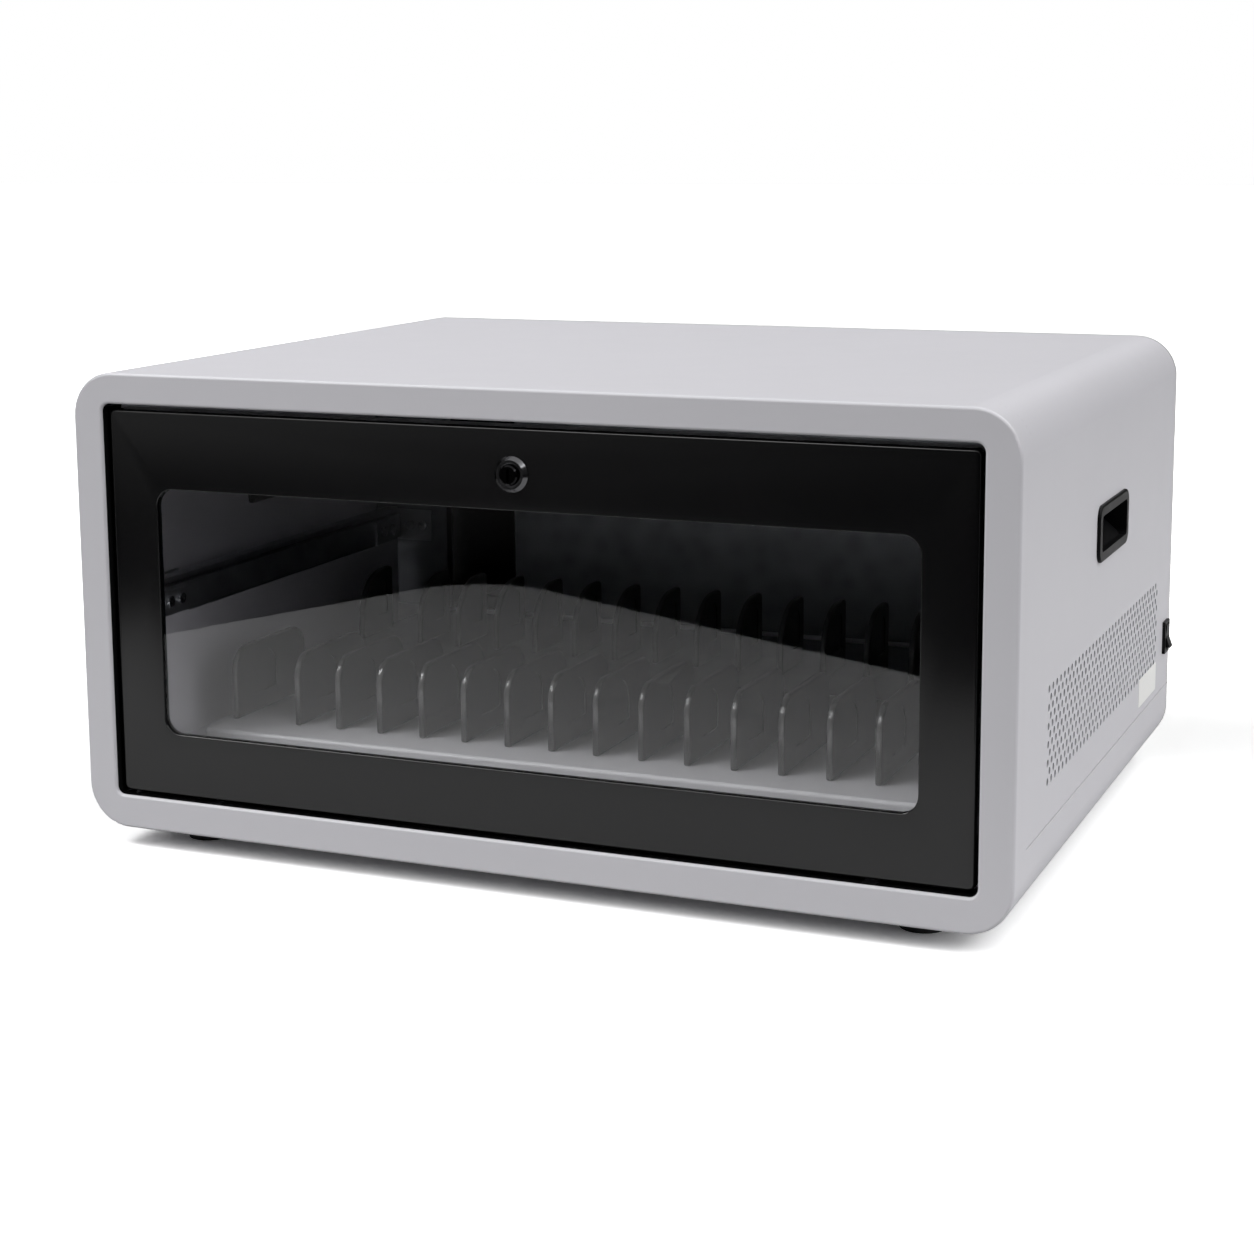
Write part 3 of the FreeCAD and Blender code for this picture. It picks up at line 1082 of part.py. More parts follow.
def nodes():
    """Every node of the cabinet with its shape."""
    shapes = {
        "front_frame": front_frame(),
        "opening_liner": opening_liner(),
        "top_cover": top_cover(),
        "base_pan": base_pan(),
        "rear_panel": rear_panel(),
        "bulkhead": bulkhead(),
        "rail_brackets": rail_brackets(),
        "feet": feet(),
        "power_inlet": power_inlet(),
        "inlet_pins": inlet_pins(),
        "switch_body": switch_body(),
        "switch_rocker": switch_rocker(),
        "power_supply": power_supply(),
        "charger_board": charger_board(),
        "usb_sockets": usb_sockets(),
        "wiring": wiring(),
        "drawer_pan": drawer_pan(),
        "insert_base": insert_base(),
        "rear_riser": rear_riser(),
        "hinge_brackets": hinge_brackets(),
        "door_panel": door_panel(),
        "window_pane": window_pane(),
        "pane_retainer": pane_retainer(),
        "retainer_nuts": retainer_nuts(),
        "hinge_blocks": hinge_blocks(),
        "hinge_pins": hinge_pins(),
        "lock_body": lock_body(),
        "lock_nut": lock_nut(),
        "lock_plug": lock_plug(),
        "lock_cam": lock_cam(),
        "cam_screw": cam_screw(),
    }
    handed = {
        "handle_cup": handle_cup(),
        "slide_outer": slide_outer(),
        "slide_cage": slide_cage(),
        "slide_inner": slide_inner(),
    }
    for name, shape in handed.items():
        shapes[name + "_right"] = shape
        shapes[name + "_left"] = mirrored(shape)
    for number, x in enumerate(divider_places(), start=1):
        shapes[f"divider_{number:02d}"] = divider(x)

    grille = vent_panel()
    shapes["vent_panels"] = group([grille, mirrored(grille)])
    rear_way = ALONG_Y.negative()
    shapes["rear_screws"] = group([screw(seat, rear_way, SCREW_REACH) for seat in rear_screw_seats()])
    rail = [screw(seat, ALONG_X, SCREW_REACH, LOW_HEAD_HEIGHT) for seat in rail_screw_seats()]
    shapes["rail_screws"] = group(rail + [mirrored(shape) for shape in rail])
    bracket = both_sides(bracket_screw_seats())
    shapes["bracket_screws"] = group([screw(seat, ALONG_Y, SCREW_REACH) for seat in bracket])
    lug = [screw(seat, ALONG_X, SCREW_REACH) for seat in drawer_screw_seats()]
    shapes["drawer_screws"] = group(lug + [mirrored(shape) for shape in lug])
    return shapes


os.makedirs("parts", exist_ok=True)
for node, solid in nodes().items():
    solid.exportStep(f"parts/{node}.step")
    print(node, "valid" if solid.isValid() else "not valid", len(solid.Solids), round(solid.Volume))
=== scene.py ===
# %% [markdown]
# # A desk-top charging cabinet
# The real thing is a light grey steel box for charging tablets, with a black drop-down front, a clear
# window and a tray of upright slots. Its solids come from CAD with all their real sizes, so this lesson
# only dresses them. It gives each surface its finish, rounds the edges that catch the light, adds the few
# thin things that CAD leaves out, and sets up the studio and the camera.

# %% Load the CAD frame
import json
import math

import bmesh
import bpy
from mathutils import Matrix, Vector


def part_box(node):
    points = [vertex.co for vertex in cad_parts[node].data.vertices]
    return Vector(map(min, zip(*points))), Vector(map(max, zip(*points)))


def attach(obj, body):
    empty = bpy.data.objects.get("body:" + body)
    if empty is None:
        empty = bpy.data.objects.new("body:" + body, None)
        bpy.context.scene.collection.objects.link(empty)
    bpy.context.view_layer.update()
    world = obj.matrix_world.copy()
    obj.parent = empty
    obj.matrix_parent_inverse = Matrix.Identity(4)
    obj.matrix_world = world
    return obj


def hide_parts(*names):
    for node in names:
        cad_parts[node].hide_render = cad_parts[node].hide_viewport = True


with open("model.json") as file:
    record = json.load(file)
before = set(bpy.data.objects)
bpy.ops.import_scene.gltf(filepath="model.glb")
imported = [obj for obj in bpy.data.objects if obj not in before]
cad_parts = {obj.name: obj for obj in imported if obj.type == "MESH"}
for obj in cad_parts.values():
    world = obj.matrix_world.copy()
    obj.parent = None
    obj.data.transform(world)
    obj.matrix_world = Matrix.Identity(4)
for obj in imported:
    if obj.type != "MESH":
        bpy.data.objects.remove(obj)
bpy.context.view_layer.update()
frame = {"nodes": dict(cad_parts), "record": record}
MM = 0.001
print("CAD nodes:", len(frame["nodes"]))

# %% [markdown]
# ## Colours and nodes
# Colours are picked on a screen, so they are written as sRGB hex values, while a shader works in
# linear light. One function turns one into the other. A second one adds any node, sets its properties and
# fills or links its sockets, so that each finish below reads as a short recipe. Patterns are given by their
# real size in millimetres: a noise of scale S has about S grains in a metre.

# %% Helpers for finishes
def linear(code):
    """sRGB hex colour as linear RGBA."""
    parts = [int(code[i:i + 2], 16) / 255 for i in (1, 3, 5)]
    return [c / 12.92 if c <= 0.04045 else ((c + 0.055) / 1.055) ** 2.4 for c in parts] + [1.0]


def grains(size_mm):
    """Texture scale for a pattern whose grains are this wide."""
    return 1.0 / (size_mm * MM)


def add(material, kind, sockets=None, **settings):
    """Add a node, set its properties, and fill its sockets with values or links."""
    tree = material.node_tree
    made = tree.nodes.new(kind)
    for name, value in settings.items():
        setattr(made, name, value)
    for name, value in (sockets or {}).items():
        if isinstance(value, bpy.types.NodeSocket):
            tree.links.new(value, made.inputs[name])
        else:
            made.inputs[name].default_value = value
    return made


def start_finish(name):
    """An empty material, with the place on the surface in metres and the output to link to."""
    material = bpy.data.materials.new(name)
    material.use_nodes = True
    material.node_tree.nodes.clear()
    place = add(material, "ShaderNodeTexCoord").outputs["Object"]
    return material, place, add(material, "ShaderNodeOutputMaterial")


def show(material, output, shader):
    """Join a shader to the output."""
    material.node_tree.links.new(shader.outputs[0], output.inputs["Surface"])
    print("finish:", material.name)
    return material


FINISHES = {}

# %% [markdown]
# ## Powder coat on the shell
# The shell is folded steel with a baked powder coat. The powder melts and flows but never levels out, which
# leaves a faint orange peel, so highlights are wide and a little broken. A noise for the peel drives a
# bump, a broad noise shifts the grey by a step or two, and a middle one varies the roughness. The real peel
# is about 1 mm wide, and it is drawn at nearly twice that so that it shows in the render.

# %% Light grey powder coat
# To the eye: a cool pale grey with wide, soft lights and no mirror image.
material, place, output = start_finish("powder_coat_light_grey")
cloud = add(material, "ShaderNodeTexNoise", {"Vector": place, "Scale": grains(160), "Detail": 2.0})
tint = add(material, "ShaderNodeMix", {
    0: cloud.outputs["Fac"], 6: linear("#CECDD2"), 7: linear("#D2D1D6")}, data_type="RGBA")
patch = add(material, "ShaderNodeTexNoise", {"Vector": place, "Scale": grains(25), "Detail": 3.0})
rough = add(material, "ShaderNodeMapRange", {"Value": patch.outputs["Fac"], "To Min": 0.42, "To Max": 0.50})
peel = add(material, "ShaderNodeTexNoise", {"Vector": place, "Scale": grains(1.8), "Detail": 1.0})
bump = add(material, "ShaderNodeBump", {
    "Height": peel.outputs["Fac"], "Strength": 0.12, "Distance": 0.15 * MM})
shader = add(material, "ShaderNodeBsdfPrincipled", {
    "Base Color": tint.outputs[2], "Roughness": rough.outputs[0], "Normal": bump.outputs[0], "IOR": 1.5})
FINISHES["shell_paint"] = show(material, output, shader)

# %% [markdown]
# ## Satin black on the door
# The door has the same kind of coat in black, ground finer. It is smoother, so it shows a soft image of the
# bright table near its bottom edge. Black paint gets nearly all its light from that gloss, so the roughness
# matters most. The channel round the door's opening takes the same black. The rear panel takes it too, as
# painted shade: it stands for the dark bay that shows through the gap in the bulkhead.

# %% Satin black powder coat
# To the eye: deep black above, and a soft grey sheen below where it mirrors the table.
# On the rear panel this black is painted shade, standing for the dark bay behind the bulkhead.
material, place, output = start_finish("satin_black_coat_and_painted_shade")
patch = add(material, "ShaderNodeTexNoise", {"Vector": place, "Scale": grains(30), "Detail": 3.0})
rough = add(material, "ShaderNodeMapRange", {"Value": patch.outputs["Fac"], "To Min": 0.15, "To Max": 0.19})
peel = add(material, "ShaderNodeTexNoise", {"Vector": place, "Scale": grains(1.5), "Detail": 1.0})
bump = add(material, "ShaderNodeBump", {
    "Height": peel.outputs["Fac"], "Strength": 0.08, "Distance": 0.1 * MM})
shader = add(material, "ShaderNodeBsdfPrincipled", {
    "Base Color": linear("#0D0D0E"), "Roughness": rough.outputs[0], "Normal": bump.outputs[0], "IOR": 1.5})
FINISHES["door_paint"] = show(material, output, shader)

# %% [markdown]
# ## The acrylic pane
# The window is a cast acrylic sheet, faintly grey and polished on both faces. Glass in a path tracer stops
# the light of lamps, so the tray behind it would go black. A Mix Shader lets those shadow rays through with
# the sheet's tint, and every other ray meets real acrylic with an IOR of 1.49.

# %% Polished grey acrylic
# To the eye: clear, a shade darker than air, with a faint sharp image of the table over what lies behind.
material, place, output = start_finish("acrylic_cast_light_grey")
shader = add(material, "ShaderNodeBsdfPrincipled", {
    "Base Color": linear("#E9E9EA"), "Roughness": 0.01, "IOR": 1.49, "Transmission Weight": 1.0})
clear = add(material, "ShaderNodeBsdfTransparent", {"Color": linear("#E9E9EA")})
path = add(material, "ShaderNodeLightPath")
pane = add(material, "ShaderNodeMixShader", {
    0: path.outputs["Is Shadow Ray"], 1: shader.outputs[0], 2: clear.outputs[0]})
FINISHES["smoked_acrylic"] = show(material, output, pane)

# %% [markdown]
# ## Zinc on the sheet metal inside
# Slides and brackets are rolled steel sheet, plated with zinc. It is a dull metal with soft cloudy patches
# and fine rolling lines along the sheet. Stretching a noise along the depth gives the lines, and a cell
# pattern gives the patches. The bulkhead takes the same recipe in darker colours.

# %% Rolled and zinc-plated sheet
ZINC_SHEETS = {
    # To the eye: a mid grey metal with long dull streaks.
    "zinc_sheet": ("steel_rolled_zinc_plated", "#A9ABAE", "#C2C4C7"),
    # To the eye: nearly black in the shade, with a grey cloud where light falls on it.
    "dark_sheet": ("steel_rolled_zinc_darker", "#7C7E81", "#929497"),
}
for slot, (name, shade, light) in ZINC_SHEETS.items():
    material, place, output = start_finish(name)
    along = add(material, "ShaderNodeMapping", {"Vector": place, "Scale": (1.0, 0.05, 1.0)})
    lines = add(material, "ShaderNodeTexNoise", {
        "Vector": along.outputs[0], "Scale": grains(0.9), "Detail": 2.0})
    cells = add(material, "ShaderNodeTexVoronoi", {"Vector": place, "Scale": grains(14)}, feature="SMOOTH_F1")
    tint = add(material, "ShaderNodeMix", {
        0: cells.outputs["Distance"], 6: linear(shade), 7: linear(light)}, data_type="RGBA")
    rough = add(material, "ShaderNodeMapRange", {
        "Value": lines.outputs["Fac"], "To Min": 0.36, "To Max": 0.52})
    bump = add(material, "ShaderNodeBump", {
        "Height": lines.outputs["Fac"], "Strength": 0.05, "Distance": 0.05 * MM})
    shader = add(material, "ShaderNodeBsdfPrincipled", {
        "Base Color": tint.outputs[2], "Roughness": rough.outputs[0], "Normal": bump.outputs[0],
        "Metallic": 1.0})
    FINISHES[slot] = show(material, output, shader)

# %% [markdown]
# ## The drawer pan and its bare lugs
# The pan is coated like the shell, but the four lugs that carry the slides are masked off before the powder
# goes on, so that the screws clamp metal on metal. The border between paint and bare zinc is the lower edge
# of the slide. One material serves the whole pan: height decides between the two, and the metal share
# follows it.

# %% Light grey coat with masked lugs
# To the eye: the pan's sides stay pale, and the lugs go as dark as the slides that they are screwed to.
pan = frame["nodes"]["drawer_pan"]
slide_edge = pan.matrix_world.inverted() @ Vector(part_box("slide_inner_left")[0])
material, place, output = start_finish("powder_coat_light_grey_masked_lugs")
height = add(material, "ShaderNodeSeparateXYZ", {"Vector": place}).outputs["Z"]
bare = add(material, "ShaderNodeMath", {0: height, 1: slide_edge.z}, operation="GREATER_THAN").outputs[0]
tint = add(material, "ShaderNodeMix", {
    0: bare, 6: linear("#D0CFD4"), 7: linear("#B5B7BA")}, data_type="RGBA")
patch = add(material, "ShaderNodeTexNoise", {"Vector": place, "Scale": grains(25), "Detail": 3.0})
rough = add(material, "ShaderNodeMapRange", {"Value": patch.outputs["Fac"], "To Min": 0.40, "To Max": 0.50})
shader = add(material, "ShaderNodeBsdfPrincipled", {
    "Base Color": tint.outputs[2], "Roughness": rough.outputs[0], "Metallic": bare, "IOR": 1.5})
masked_coat = show(material, output, shader)
print("bare above:", round(slide_edge.z / MM, 2), "mm")

# %% [markdown]
# ## Bright zinc on the small hardware
# Screws, nuts, pins and ball cages are turned or pressed, then barrel-plated with bright zinc. Tumbling in
# the barrel leaves tiny scratches in all directions, so a fine noise varies the roughness and nothing else.

# %% Turned steel with bright zinc
# To the eye: small, clear sparks on rounded rims.
material, place, output = start_finish("steel_turned_bright_zinc")
scratch = add(material, "ShaderNodeTexNoise", {"Vector": place, "Scale": grains(0.8), "Detail": 3.0})
rough = add(material, "ShaderNodeMapRange", {"Value": scratch.outputs["Fac"], "To Min": 0.18, "To Max": 0.34})
shader = add(material, "ShaderNodeBsdfPrincipled", {
    "Base Color": linear("#CDCED0"), "Roughness": rough.outputs[0], "Metallic": 1.0})
FINISHES["plated_steel"] = show(material, output, shader)

# %% [markdown]
# ## Plastics
# The dividers are moulded in black ABS and lacquered, which doubles the light that their rounded edges
# throw back. The grips, switch and inlet are a coarser black moulding: the mould is spark-eroded, which
# leaves a fine sand-like grain that traps most of the gloss. The tray's floor is light grey. The feet are
# black rubber, the dullest of all. Each row holds the name, the colour, the range of roughness, the width
# and depth of the grain, the level of gloss, where 0.5 is a plain face, and the share of lacquer.

# %% Moulded plastics and rubber
PLASTICS = {
    # To the eye: black faces between thin bright edges.
    "divider_plastic": ("abs_moulded_lacquered_black", "#161617", 0.30, 0.40, 0.9, 0.03, 0.5, 1.0),
    # To the eye: a pale floor with a faint sheen towards the window.
    "tray_plastic": ("abs_moulded_light_grey", "#C2C2C4", 0.26, 0.38, 0.8, 0.05, 0.5, 0.0),
    # To the eye: a flat black that eats the light.
    "black_plastic": ("abs_spark_eroded_black", "#0B0B0C", 0.34, 0.44, 0.7, 0.10, 0.1, 0.0),
    # To the eye: black with no highlight at all.
    "foot_rubber": ("rubber_moulded_black", "#171717", 0.70, 0.85, 1.2, 0.15, 0.5, 0.0),
}
for slot, (name, colour, smooth, dull, grain_mm, strength, gloss, lacquer) in PLASTICS.items():
    material, place, output = start_finish(name)
    grain = add(material, "ShaderNodeTexNoise", {"Vector": place, "Scale": grains(grain_mm), "Detail": 2.0})
    cloud = add(material, "ShaderNodeTexNoise", {"Vector": place, "Scale": grains(18), "Detail": 2.0})
    rough = add(material, "ShaderNodeMapRange", {
        "Value": cloud.outputs["Fac"], "To Min": smooth, "To Max": dull})
    bump = add(material, "ShaderNodeBump", {
        "Height": grain.outputs["Fac"], "Strength": strength, "Distance": 0.1 * MM})
    shader = add(material, "ShaderNodeBsdfPrincipled", {
        "Base Color": linear(colour), "Roughness": rough.outputs[0], "Normal": bump.outputs[0], "IOR": 1.53,
        "Specular IOR Level": gloss, "Coat Weight": lacquer, "Coat Roughness": 0.12})
    FINISHES[slot] = show(material, output, shader)
print("finishes so far:", sorted(FINISHES))

# %% [markdown]
# ## The lock and the hidden parts
# The cam lock is a zinc casting plated with black nickel, a dark mirror, and its plug is turned steel that
# is blacked in a hot salt bath. Behind the bulkhead sit a green circuit board, tinned sockets, brass blades
# and a grey painted supply. They show through the vents at most, but each still gets its own finish,
# because the model may be opened. Each row holds the name, the colour, how much of a metal it is, the range
# of roughness and the width of its patches.

# %% Lock, brass, board, supply and sockets
SMALL_PARTS = {
    # To the eye: dark, with small sharp lights.
    "lock_black": ("zinc_cast_black_nickel", "#5E5E60", 1.0, 0.12, 0.20, 6.0),
    # To the eye: a black spot inside the grey ring of the lock.
    "lock_plug": ("steel_turned_black_oxide", "#1E1E1F", 1.0, 0.10, 0.16, 4.0),
    # To the eye: a warm yellow glint.
    "contact_brass": ("brass_rolled_polished", "#C9A45A", 1.0, 0.18, 0.30, 2.0),
    # To the eye: deep green with a varnished gloss.
    "board_laminate": ("epoxy_glass_green_mask", "#0F4A2A", 0.0, 0.28, 0.45, 5.0),
    # To the eye: a plain mid grey.
    "supply_case": ("steel_painted_grey", "#9A9C9F", 0.0, 0.45, 0.58, 20.0),
    # To the eye: a bright, slightly milky metal.
    "socket_shell": ("steel_drawn_tinned", "#C6C7C9", 1.0, 0.22, 0.36, 3.0),
}
for slot, (name, colour, metallic, smooth, dull, patch_mm) in SMALL_PARTS.items():
    material, place, output = start_finish(name)
    patch = add(material, "ShaderNodeTexNoise", {"Vector": place, "Scale": grains(patch_mm), "Detail": 3.0})
    rough = add(material, "ShaderNodeMapRange", {
        "Value": patch.outputs["Fac"], "To Min": smooth, "To Max": dull})
    shader = add(material, "ShaderNodeBsdfPrincipled", {
        "Base Color": linear(colour), "Roughness": rough.outputs[0], "Metallic": metallic})
    FINISHES[slot] = show(material, output, shader)

# %% [markdown]
# ## Dressing
# The record that came with the CAD solids names a finish for each of them, so a loop is enough. The pan and
# the lock's plug take their own. The patterns hang on the solids' own coordinates, so they stay put when a
# drawer or door moves.

# %% Dress the CAD nodes
slot_of = {part["node"]: part["material_slot"] for part in frame["record"]["subparts"]}
own_finish = {"drawer_pan": masked_coat, "lock_plug": FINISHES["lock_plug"]}
# The rear panel gets the satin black through its slot: painted shade for the dark bay seen through the gap in
# the bulkhead.
for node, slot in slot_of.items():
    mesh = frame["nodes"][node].data
    mesh.materials.clear()
    mesh.materials.append(own_finish.get(node, FINISHES[slot]))
print("dressed:", len(slot_of))

# %% [markdown]
# ## New pieces
# A few pieces are made here and not in CAD. Each is modelled as a bmesh, and one function turns it into an
# object at the origin with its place in its mesh. The function shades the piece smooth apart from its sharp
# edges, gives it its finish, and ties it to the CAD body that it moves with.

# %% Helper for new pieces
SMOOTH_ANGLE = math.radians(20)


def finish_piece(name, shape, material, body):
    """Turn a bmesh into a piece at the origin that rides on a CAD body."""
    bmesh.ops.recalc_face_normals(shape, faces=shape.faces)
    mesh = bpy.data.meshes.new(name)
    shape.to_mesh(mesh)
    shape.free()
    mesh.shade_smooth()
    mesh.set_sharp_from_angle(angle=SMOOTH_ANGLE)
    mesh.materials.append(material)
    piece = bpy.data.objects.new(name, mesh)
    bpy.context.scene.collection.objects.link(piece)
    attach(piece, body)
    return piece


# %% [markdown]
# ## Rounded edges
# No moulded fin and no cut sheet has a knife edge. The mould's own radius runs round each divider, the
# paint rounds off the edge of the door's window, and the lock's ring and the screw heads have a soft rim.
# All of these show as thin lights, and CAD leaves them sharp. Each piece here starts as a copy of its CAD
# solid. Dissolving merges the flat faces, a bevel rounds every edge that is sharper than 50 degrees and has
# room for the radius, and the copy then stands for the CAD node.

# %% Rounded copy of a CAD solid
MERGE_MM = 0.001
FLAT_ANGLE = math.radians(0.5)
SHARP_ANGLE = math.radians(50)


def room_beside(edge):
    """How far the narrower of an edge's two faces reaches from it."""
    start = edge.verts[0].co
    along = (edge.verts[1].co - start).normalized()
    reaches = [max((corner.co - start).cross(along).length for corner in face.verts)
               for face in edge.link_faces]
    return min(reaches)


def rounded_copy(node, radius, segments):
    """A CAD solid with its sharp edges rounded, where there is room for the radius."""
    solid = frame["nodes"][node]
    shape = bmesh.new()
    shape.from_mesh(solid.data)
    bmesh.ops.transform(shape, matrix=solid.matrix_world, verts=shape.verts)
    bmesh.ops.remove_doubles(shape, verts=shape.verts, dist=MERGE_MM * MM)
    bmesh.ops.dissolve_limit(shape, angle_limit=FLAT_ANGLE, verts=shape.verts, edges=shape.edges)
    sharp = [edge for edge in shape.edges
             if edge.calc_face_angle(0.0) > SHARP_ANGLE and room_beside(edge) > 2 * radius]
    bmesh.ops.bevel(shape, geom=sharp, offset=radius, affect="EDGES", segments=segments, profile=0.5,
                    material=-1, clamp_overlap=True)
    return shape


# %% Round the dividers, the door, the lock and the screws inside
ROUNDED = {node: (1.2 * MM, 2, "drawer") for node in slot_of if node.startswith("divider_")}
ROUNDED["door_panel"] = (0.5 * MM, 2, "door")
ROUNDED["lock_body"] = (0.6 * MM, 4, "door")
ROUNDED["drawer_screws"] = (0.45 * MM, 5, "drawer")
ROUNDED["rail_screws"] = (0.45 * MM, 5, "cabinet")
ROUNDED["bracket_screws"] = (0.45 * MM, 5, "cabinet")

faces = 0
for node, (radius, segments, body) in ROUNDED.items():
    slot = slot_of[node]
    shape = rounded_copy(node, radius, segments)
    piece = finish_piece(node + "_rounded", shape, FINISHES[slot], body)
    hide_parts(node)
    faces += len(piece.data.polygons)
print("rounded pieces:", len(ROUNDED), "faces:", faces)

# %% [markdown]
# ## Cross-head screws at the back
# Six pan-head screws hold the rear panel. On a real one a punch sinks the cross into the cold head, and a
# driver fits into it. CAD keeps the heads plain. Here a profile is spun into the shank and the domed head,
# an open ring is left on top, and bridging that ring to a cross outline makes the crown. The outline is
# then pushed in and closed. The places come from the outer faces of the CAD screws.

# %% One cross-head screw
SCREW_PROFILE = [(0.0, -4.0), (2.0, -4.0), (2.0, 0.0), (3.6, 0.0), (3.5, 0.8), (3.0, 1.5), (2.4, 2.0)]
SCREW_STEPS = 24
CROSS_ARM = 1.9
CROSS_HALF = 0.45
CROSS_DEPTH = 1.2
HEAD_HEIGHT = SCREW_PROFILE[-1][1]


def cross_head():
    """One screw in millimetres, standing on the origin with its head up."""
    shape = bmesh.new()
    chain = [shape.verts.new((radius, 0.0, height)) for radius, height in SCREW_PROFILE]
    edges = [shape.edges.new(pair) for pair in zip(chain, chain[1:])]
    bmesh.ops.spin(shape, geom=chain + edges, cent=(0, 0, 0), axis=(0, 0, 1), angle=math.tau,
                   steps=SCREW_STEPS, use_merge=True)
    bmesh.ops.remove_doubles(shape, verts=shape.verts, dist=MERGE_MM)
    ring = [edge for edge in shape.edges if edge.is_boundary]
    arm, half = CROSS_ARM, CROSS_HALF
    quarter = [Vector((arm, -half, 0)), Vector((arm, half, 0)), Vector((half, half, 0))]
    turns = [Matrix.Rotation(math.radians(90 * turn), 3, "Z") for turn in range(4)]
    points = [turn @ point for turn in turns for point in quarter]
    cross = [shape.verts.new((point.x, point.y, HEAD_HEIGHT)) for point in points]
    outline = [shape.edges.new(pair) for pair in zip(cross, cross[1:] + cross[:1])]
    bmesh.ops.bridge_loops(shape, edges=ring + outline)
    walls = bmesh.ops.extrude_edge_only(shape, edges=outline)["geom"]
    sunk = [item for item in walls if isinstance(item, bmesh.types.BMVert)]
    bmesh.ops.translate(shape, vec=(0, 0, -CROSS_DEPTH), verts=sunk)
    bmesh.ops.contextual_create(shape, geom=[edge for edge in shape.edges if edge.is_boundary])
    return shape


# %% Places of the rear screws
PLACE_GRID = 30 * MM
FACE_TOLERANCE = 0.01 * MM


def screw_places(node):
    """Middle of each screw's outer face."""
    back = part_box(node)[1].y
    solid = frame["nodes"][node]
    outer = {}
    for corner in solid.data.vertices:
        point = solid.matrix_world @ corner.co
        if back - point.y < FACE_TOLERANCE:
            outer.setdefault((round(point.x / PLACE_GRID), round(point.z / PLACE_GRID)), []).append(point)
    return [sum(points, Vector()) / len(points) for points in outer.values()]


places = screw_places("rear_screws")
print("rear screws at:", [(round(place.x / MM), round(place.z / MM)) for place in places], "mm")

# %% Set the screws in the back
head = cross_head()
head_mesh = bpy.data.meshes.new("cross_head")
head.to_mesh(head_mesh)
head.free()
shape = bmesh.new()
for place in places:
    first = len(shape.verts)
    shape.from_mesh(head_mesh)
    shape.verts.ensure_lookup_table()
    seat = Matrix.Translation(place - Vector((0, HEAD_HEIGHT * MM, 0)))
    turn = Matrix.Rotation(math.radians(-90), 4, "X") @ Matrix.Scale(MM, 4)
    bmesh.ops.transform(shape, matrix=seat @ turn, verts=shape.verts[first:])
bpy.data.meshes.remove(head_mesh)
screws = finish_piece("rear_screw_heads", shape, FINISHES["plated_steel"], "cabinet")
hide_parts("rear_screws")
print("rear screws:", len(places), "faces:", len(screws.data.polygons))

# %% [markdown]
# ## Blank label
# A white film label is stuck low on the right side, near the back. It is a tenth of a millimetre or so
# thick, too thin for a CAD solid of its own. A grid of one face is turned to stand on the side, its corners
# are rounded by a vertex bevel, and an extrusion gives it the film's thickness. Nothing is printed on it.

# %% White polyester film
# To the eye: the whitest spot on the cabinet, with a smooth half-gloss.
material, place, output = start_finish("polyester_film_cast_white")
fibre = add(material, "ShaderNodeTexNoise", {"Vector": place, "Scale": grains(2.5), "Detail": 3.0})
tint = add(material, "ShaderNodeMix", {
    0: fibre.outputs["Fac"], 6: linear("#EFEFED"), 7: linear("#F8F8F6")}, data_type="RGBA")
shader = add(material, "ShaderNodeBsdfPrincipled", {
    "Base Color": tint.outputs[2], "Roughness": 0.38, "IOR": 1.5})
label_film = show(material, output, shader)

# %% Label on the right side
LABEL_SIZE = (57 * MM, 18 * MM)
LABEL_PLACE = (140 * MM, 67.5 * MM)
LABEL_THICKNESS = 0.15 * MM
LABEL_CORNER = 1.5 * MM

side_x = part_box("top_cover")[1].x
shape = bmesh.new()
bmesh.ops.create_grid(shape, x_segments=1, y_segments=1, size=0.5)
bmesh.ops.scale(shape, vec=(LABEL_SIZE[0], LABEL_SIZE[1], 1.0), verts=shape.verts)
bmesh.ops.bevel(shape, geom=shape.verts[:], offset=LABEL_CORNER, affect="VERTICES", segments=6, profile=0.5,
                material=-1)
stand = Matrix.Rotation(math.radians(90), 3, "Z") @ Matrix.Rotation(math.radians(90), 3, "X")
bmesh.ops.rotate(shape, cent=(0, 0, 0), matrix=stand, verts=shape.verts)
bmesh.ops.translate(shape, vec=(side_x, LABEL_PLACE[0], LABEL_PLACE[1]), verts=shape.verts)
grown = bmesh.ops.extrude_face_region(shape, geom=shape.faces[:])
corners = [item for item in grown["geom"] if isinstance(item, bmesh.types.BMVert)]
bmesh.ops.translate(shape, vec=(LABEL_THICKNESS, 0, 0), verts=corners)
label = finish_piece("blank_label", shape, label_film, "cabinet")
print("label faces:", len(label.data.polygons))

# %% [markdown]
# ## Studio floor
# The cabinet stands on a wide white table. The floor is a pale diffuse surface that takes the shadow. To
# the camera it is whiter than paper, so only the deep shadow close to the cabinet shows, and no more light
# falls on the object. In the window the table shows as a pale hill that fades with distance, as it does
# under studio lamps that hang close. The sun lamps used below don't fade, so the colour does it. The Light
# Path node tells the cases apart. A ray that has been scattered gets a plain grey, a mirrored one the
# fading table, and one straight to the eye the white. A mirrored ray that has crossed the pane gets more of
# the white with each face, up to the four faces on the way to a fin and back.

# %% Helpers for the studio
def stage_object(name, shape, material):
    """A studio object, which isn't part of the cabinet."""
    mesh = bpy.data.meshes.new(name)
    shape.to_mesh(mesh)
    shape.free()
    mesh.materials.append(material)
    made = bpy.data.objects.new(name, mesh)
    bpy.context.scene.collection.objects.link(made)
    return made


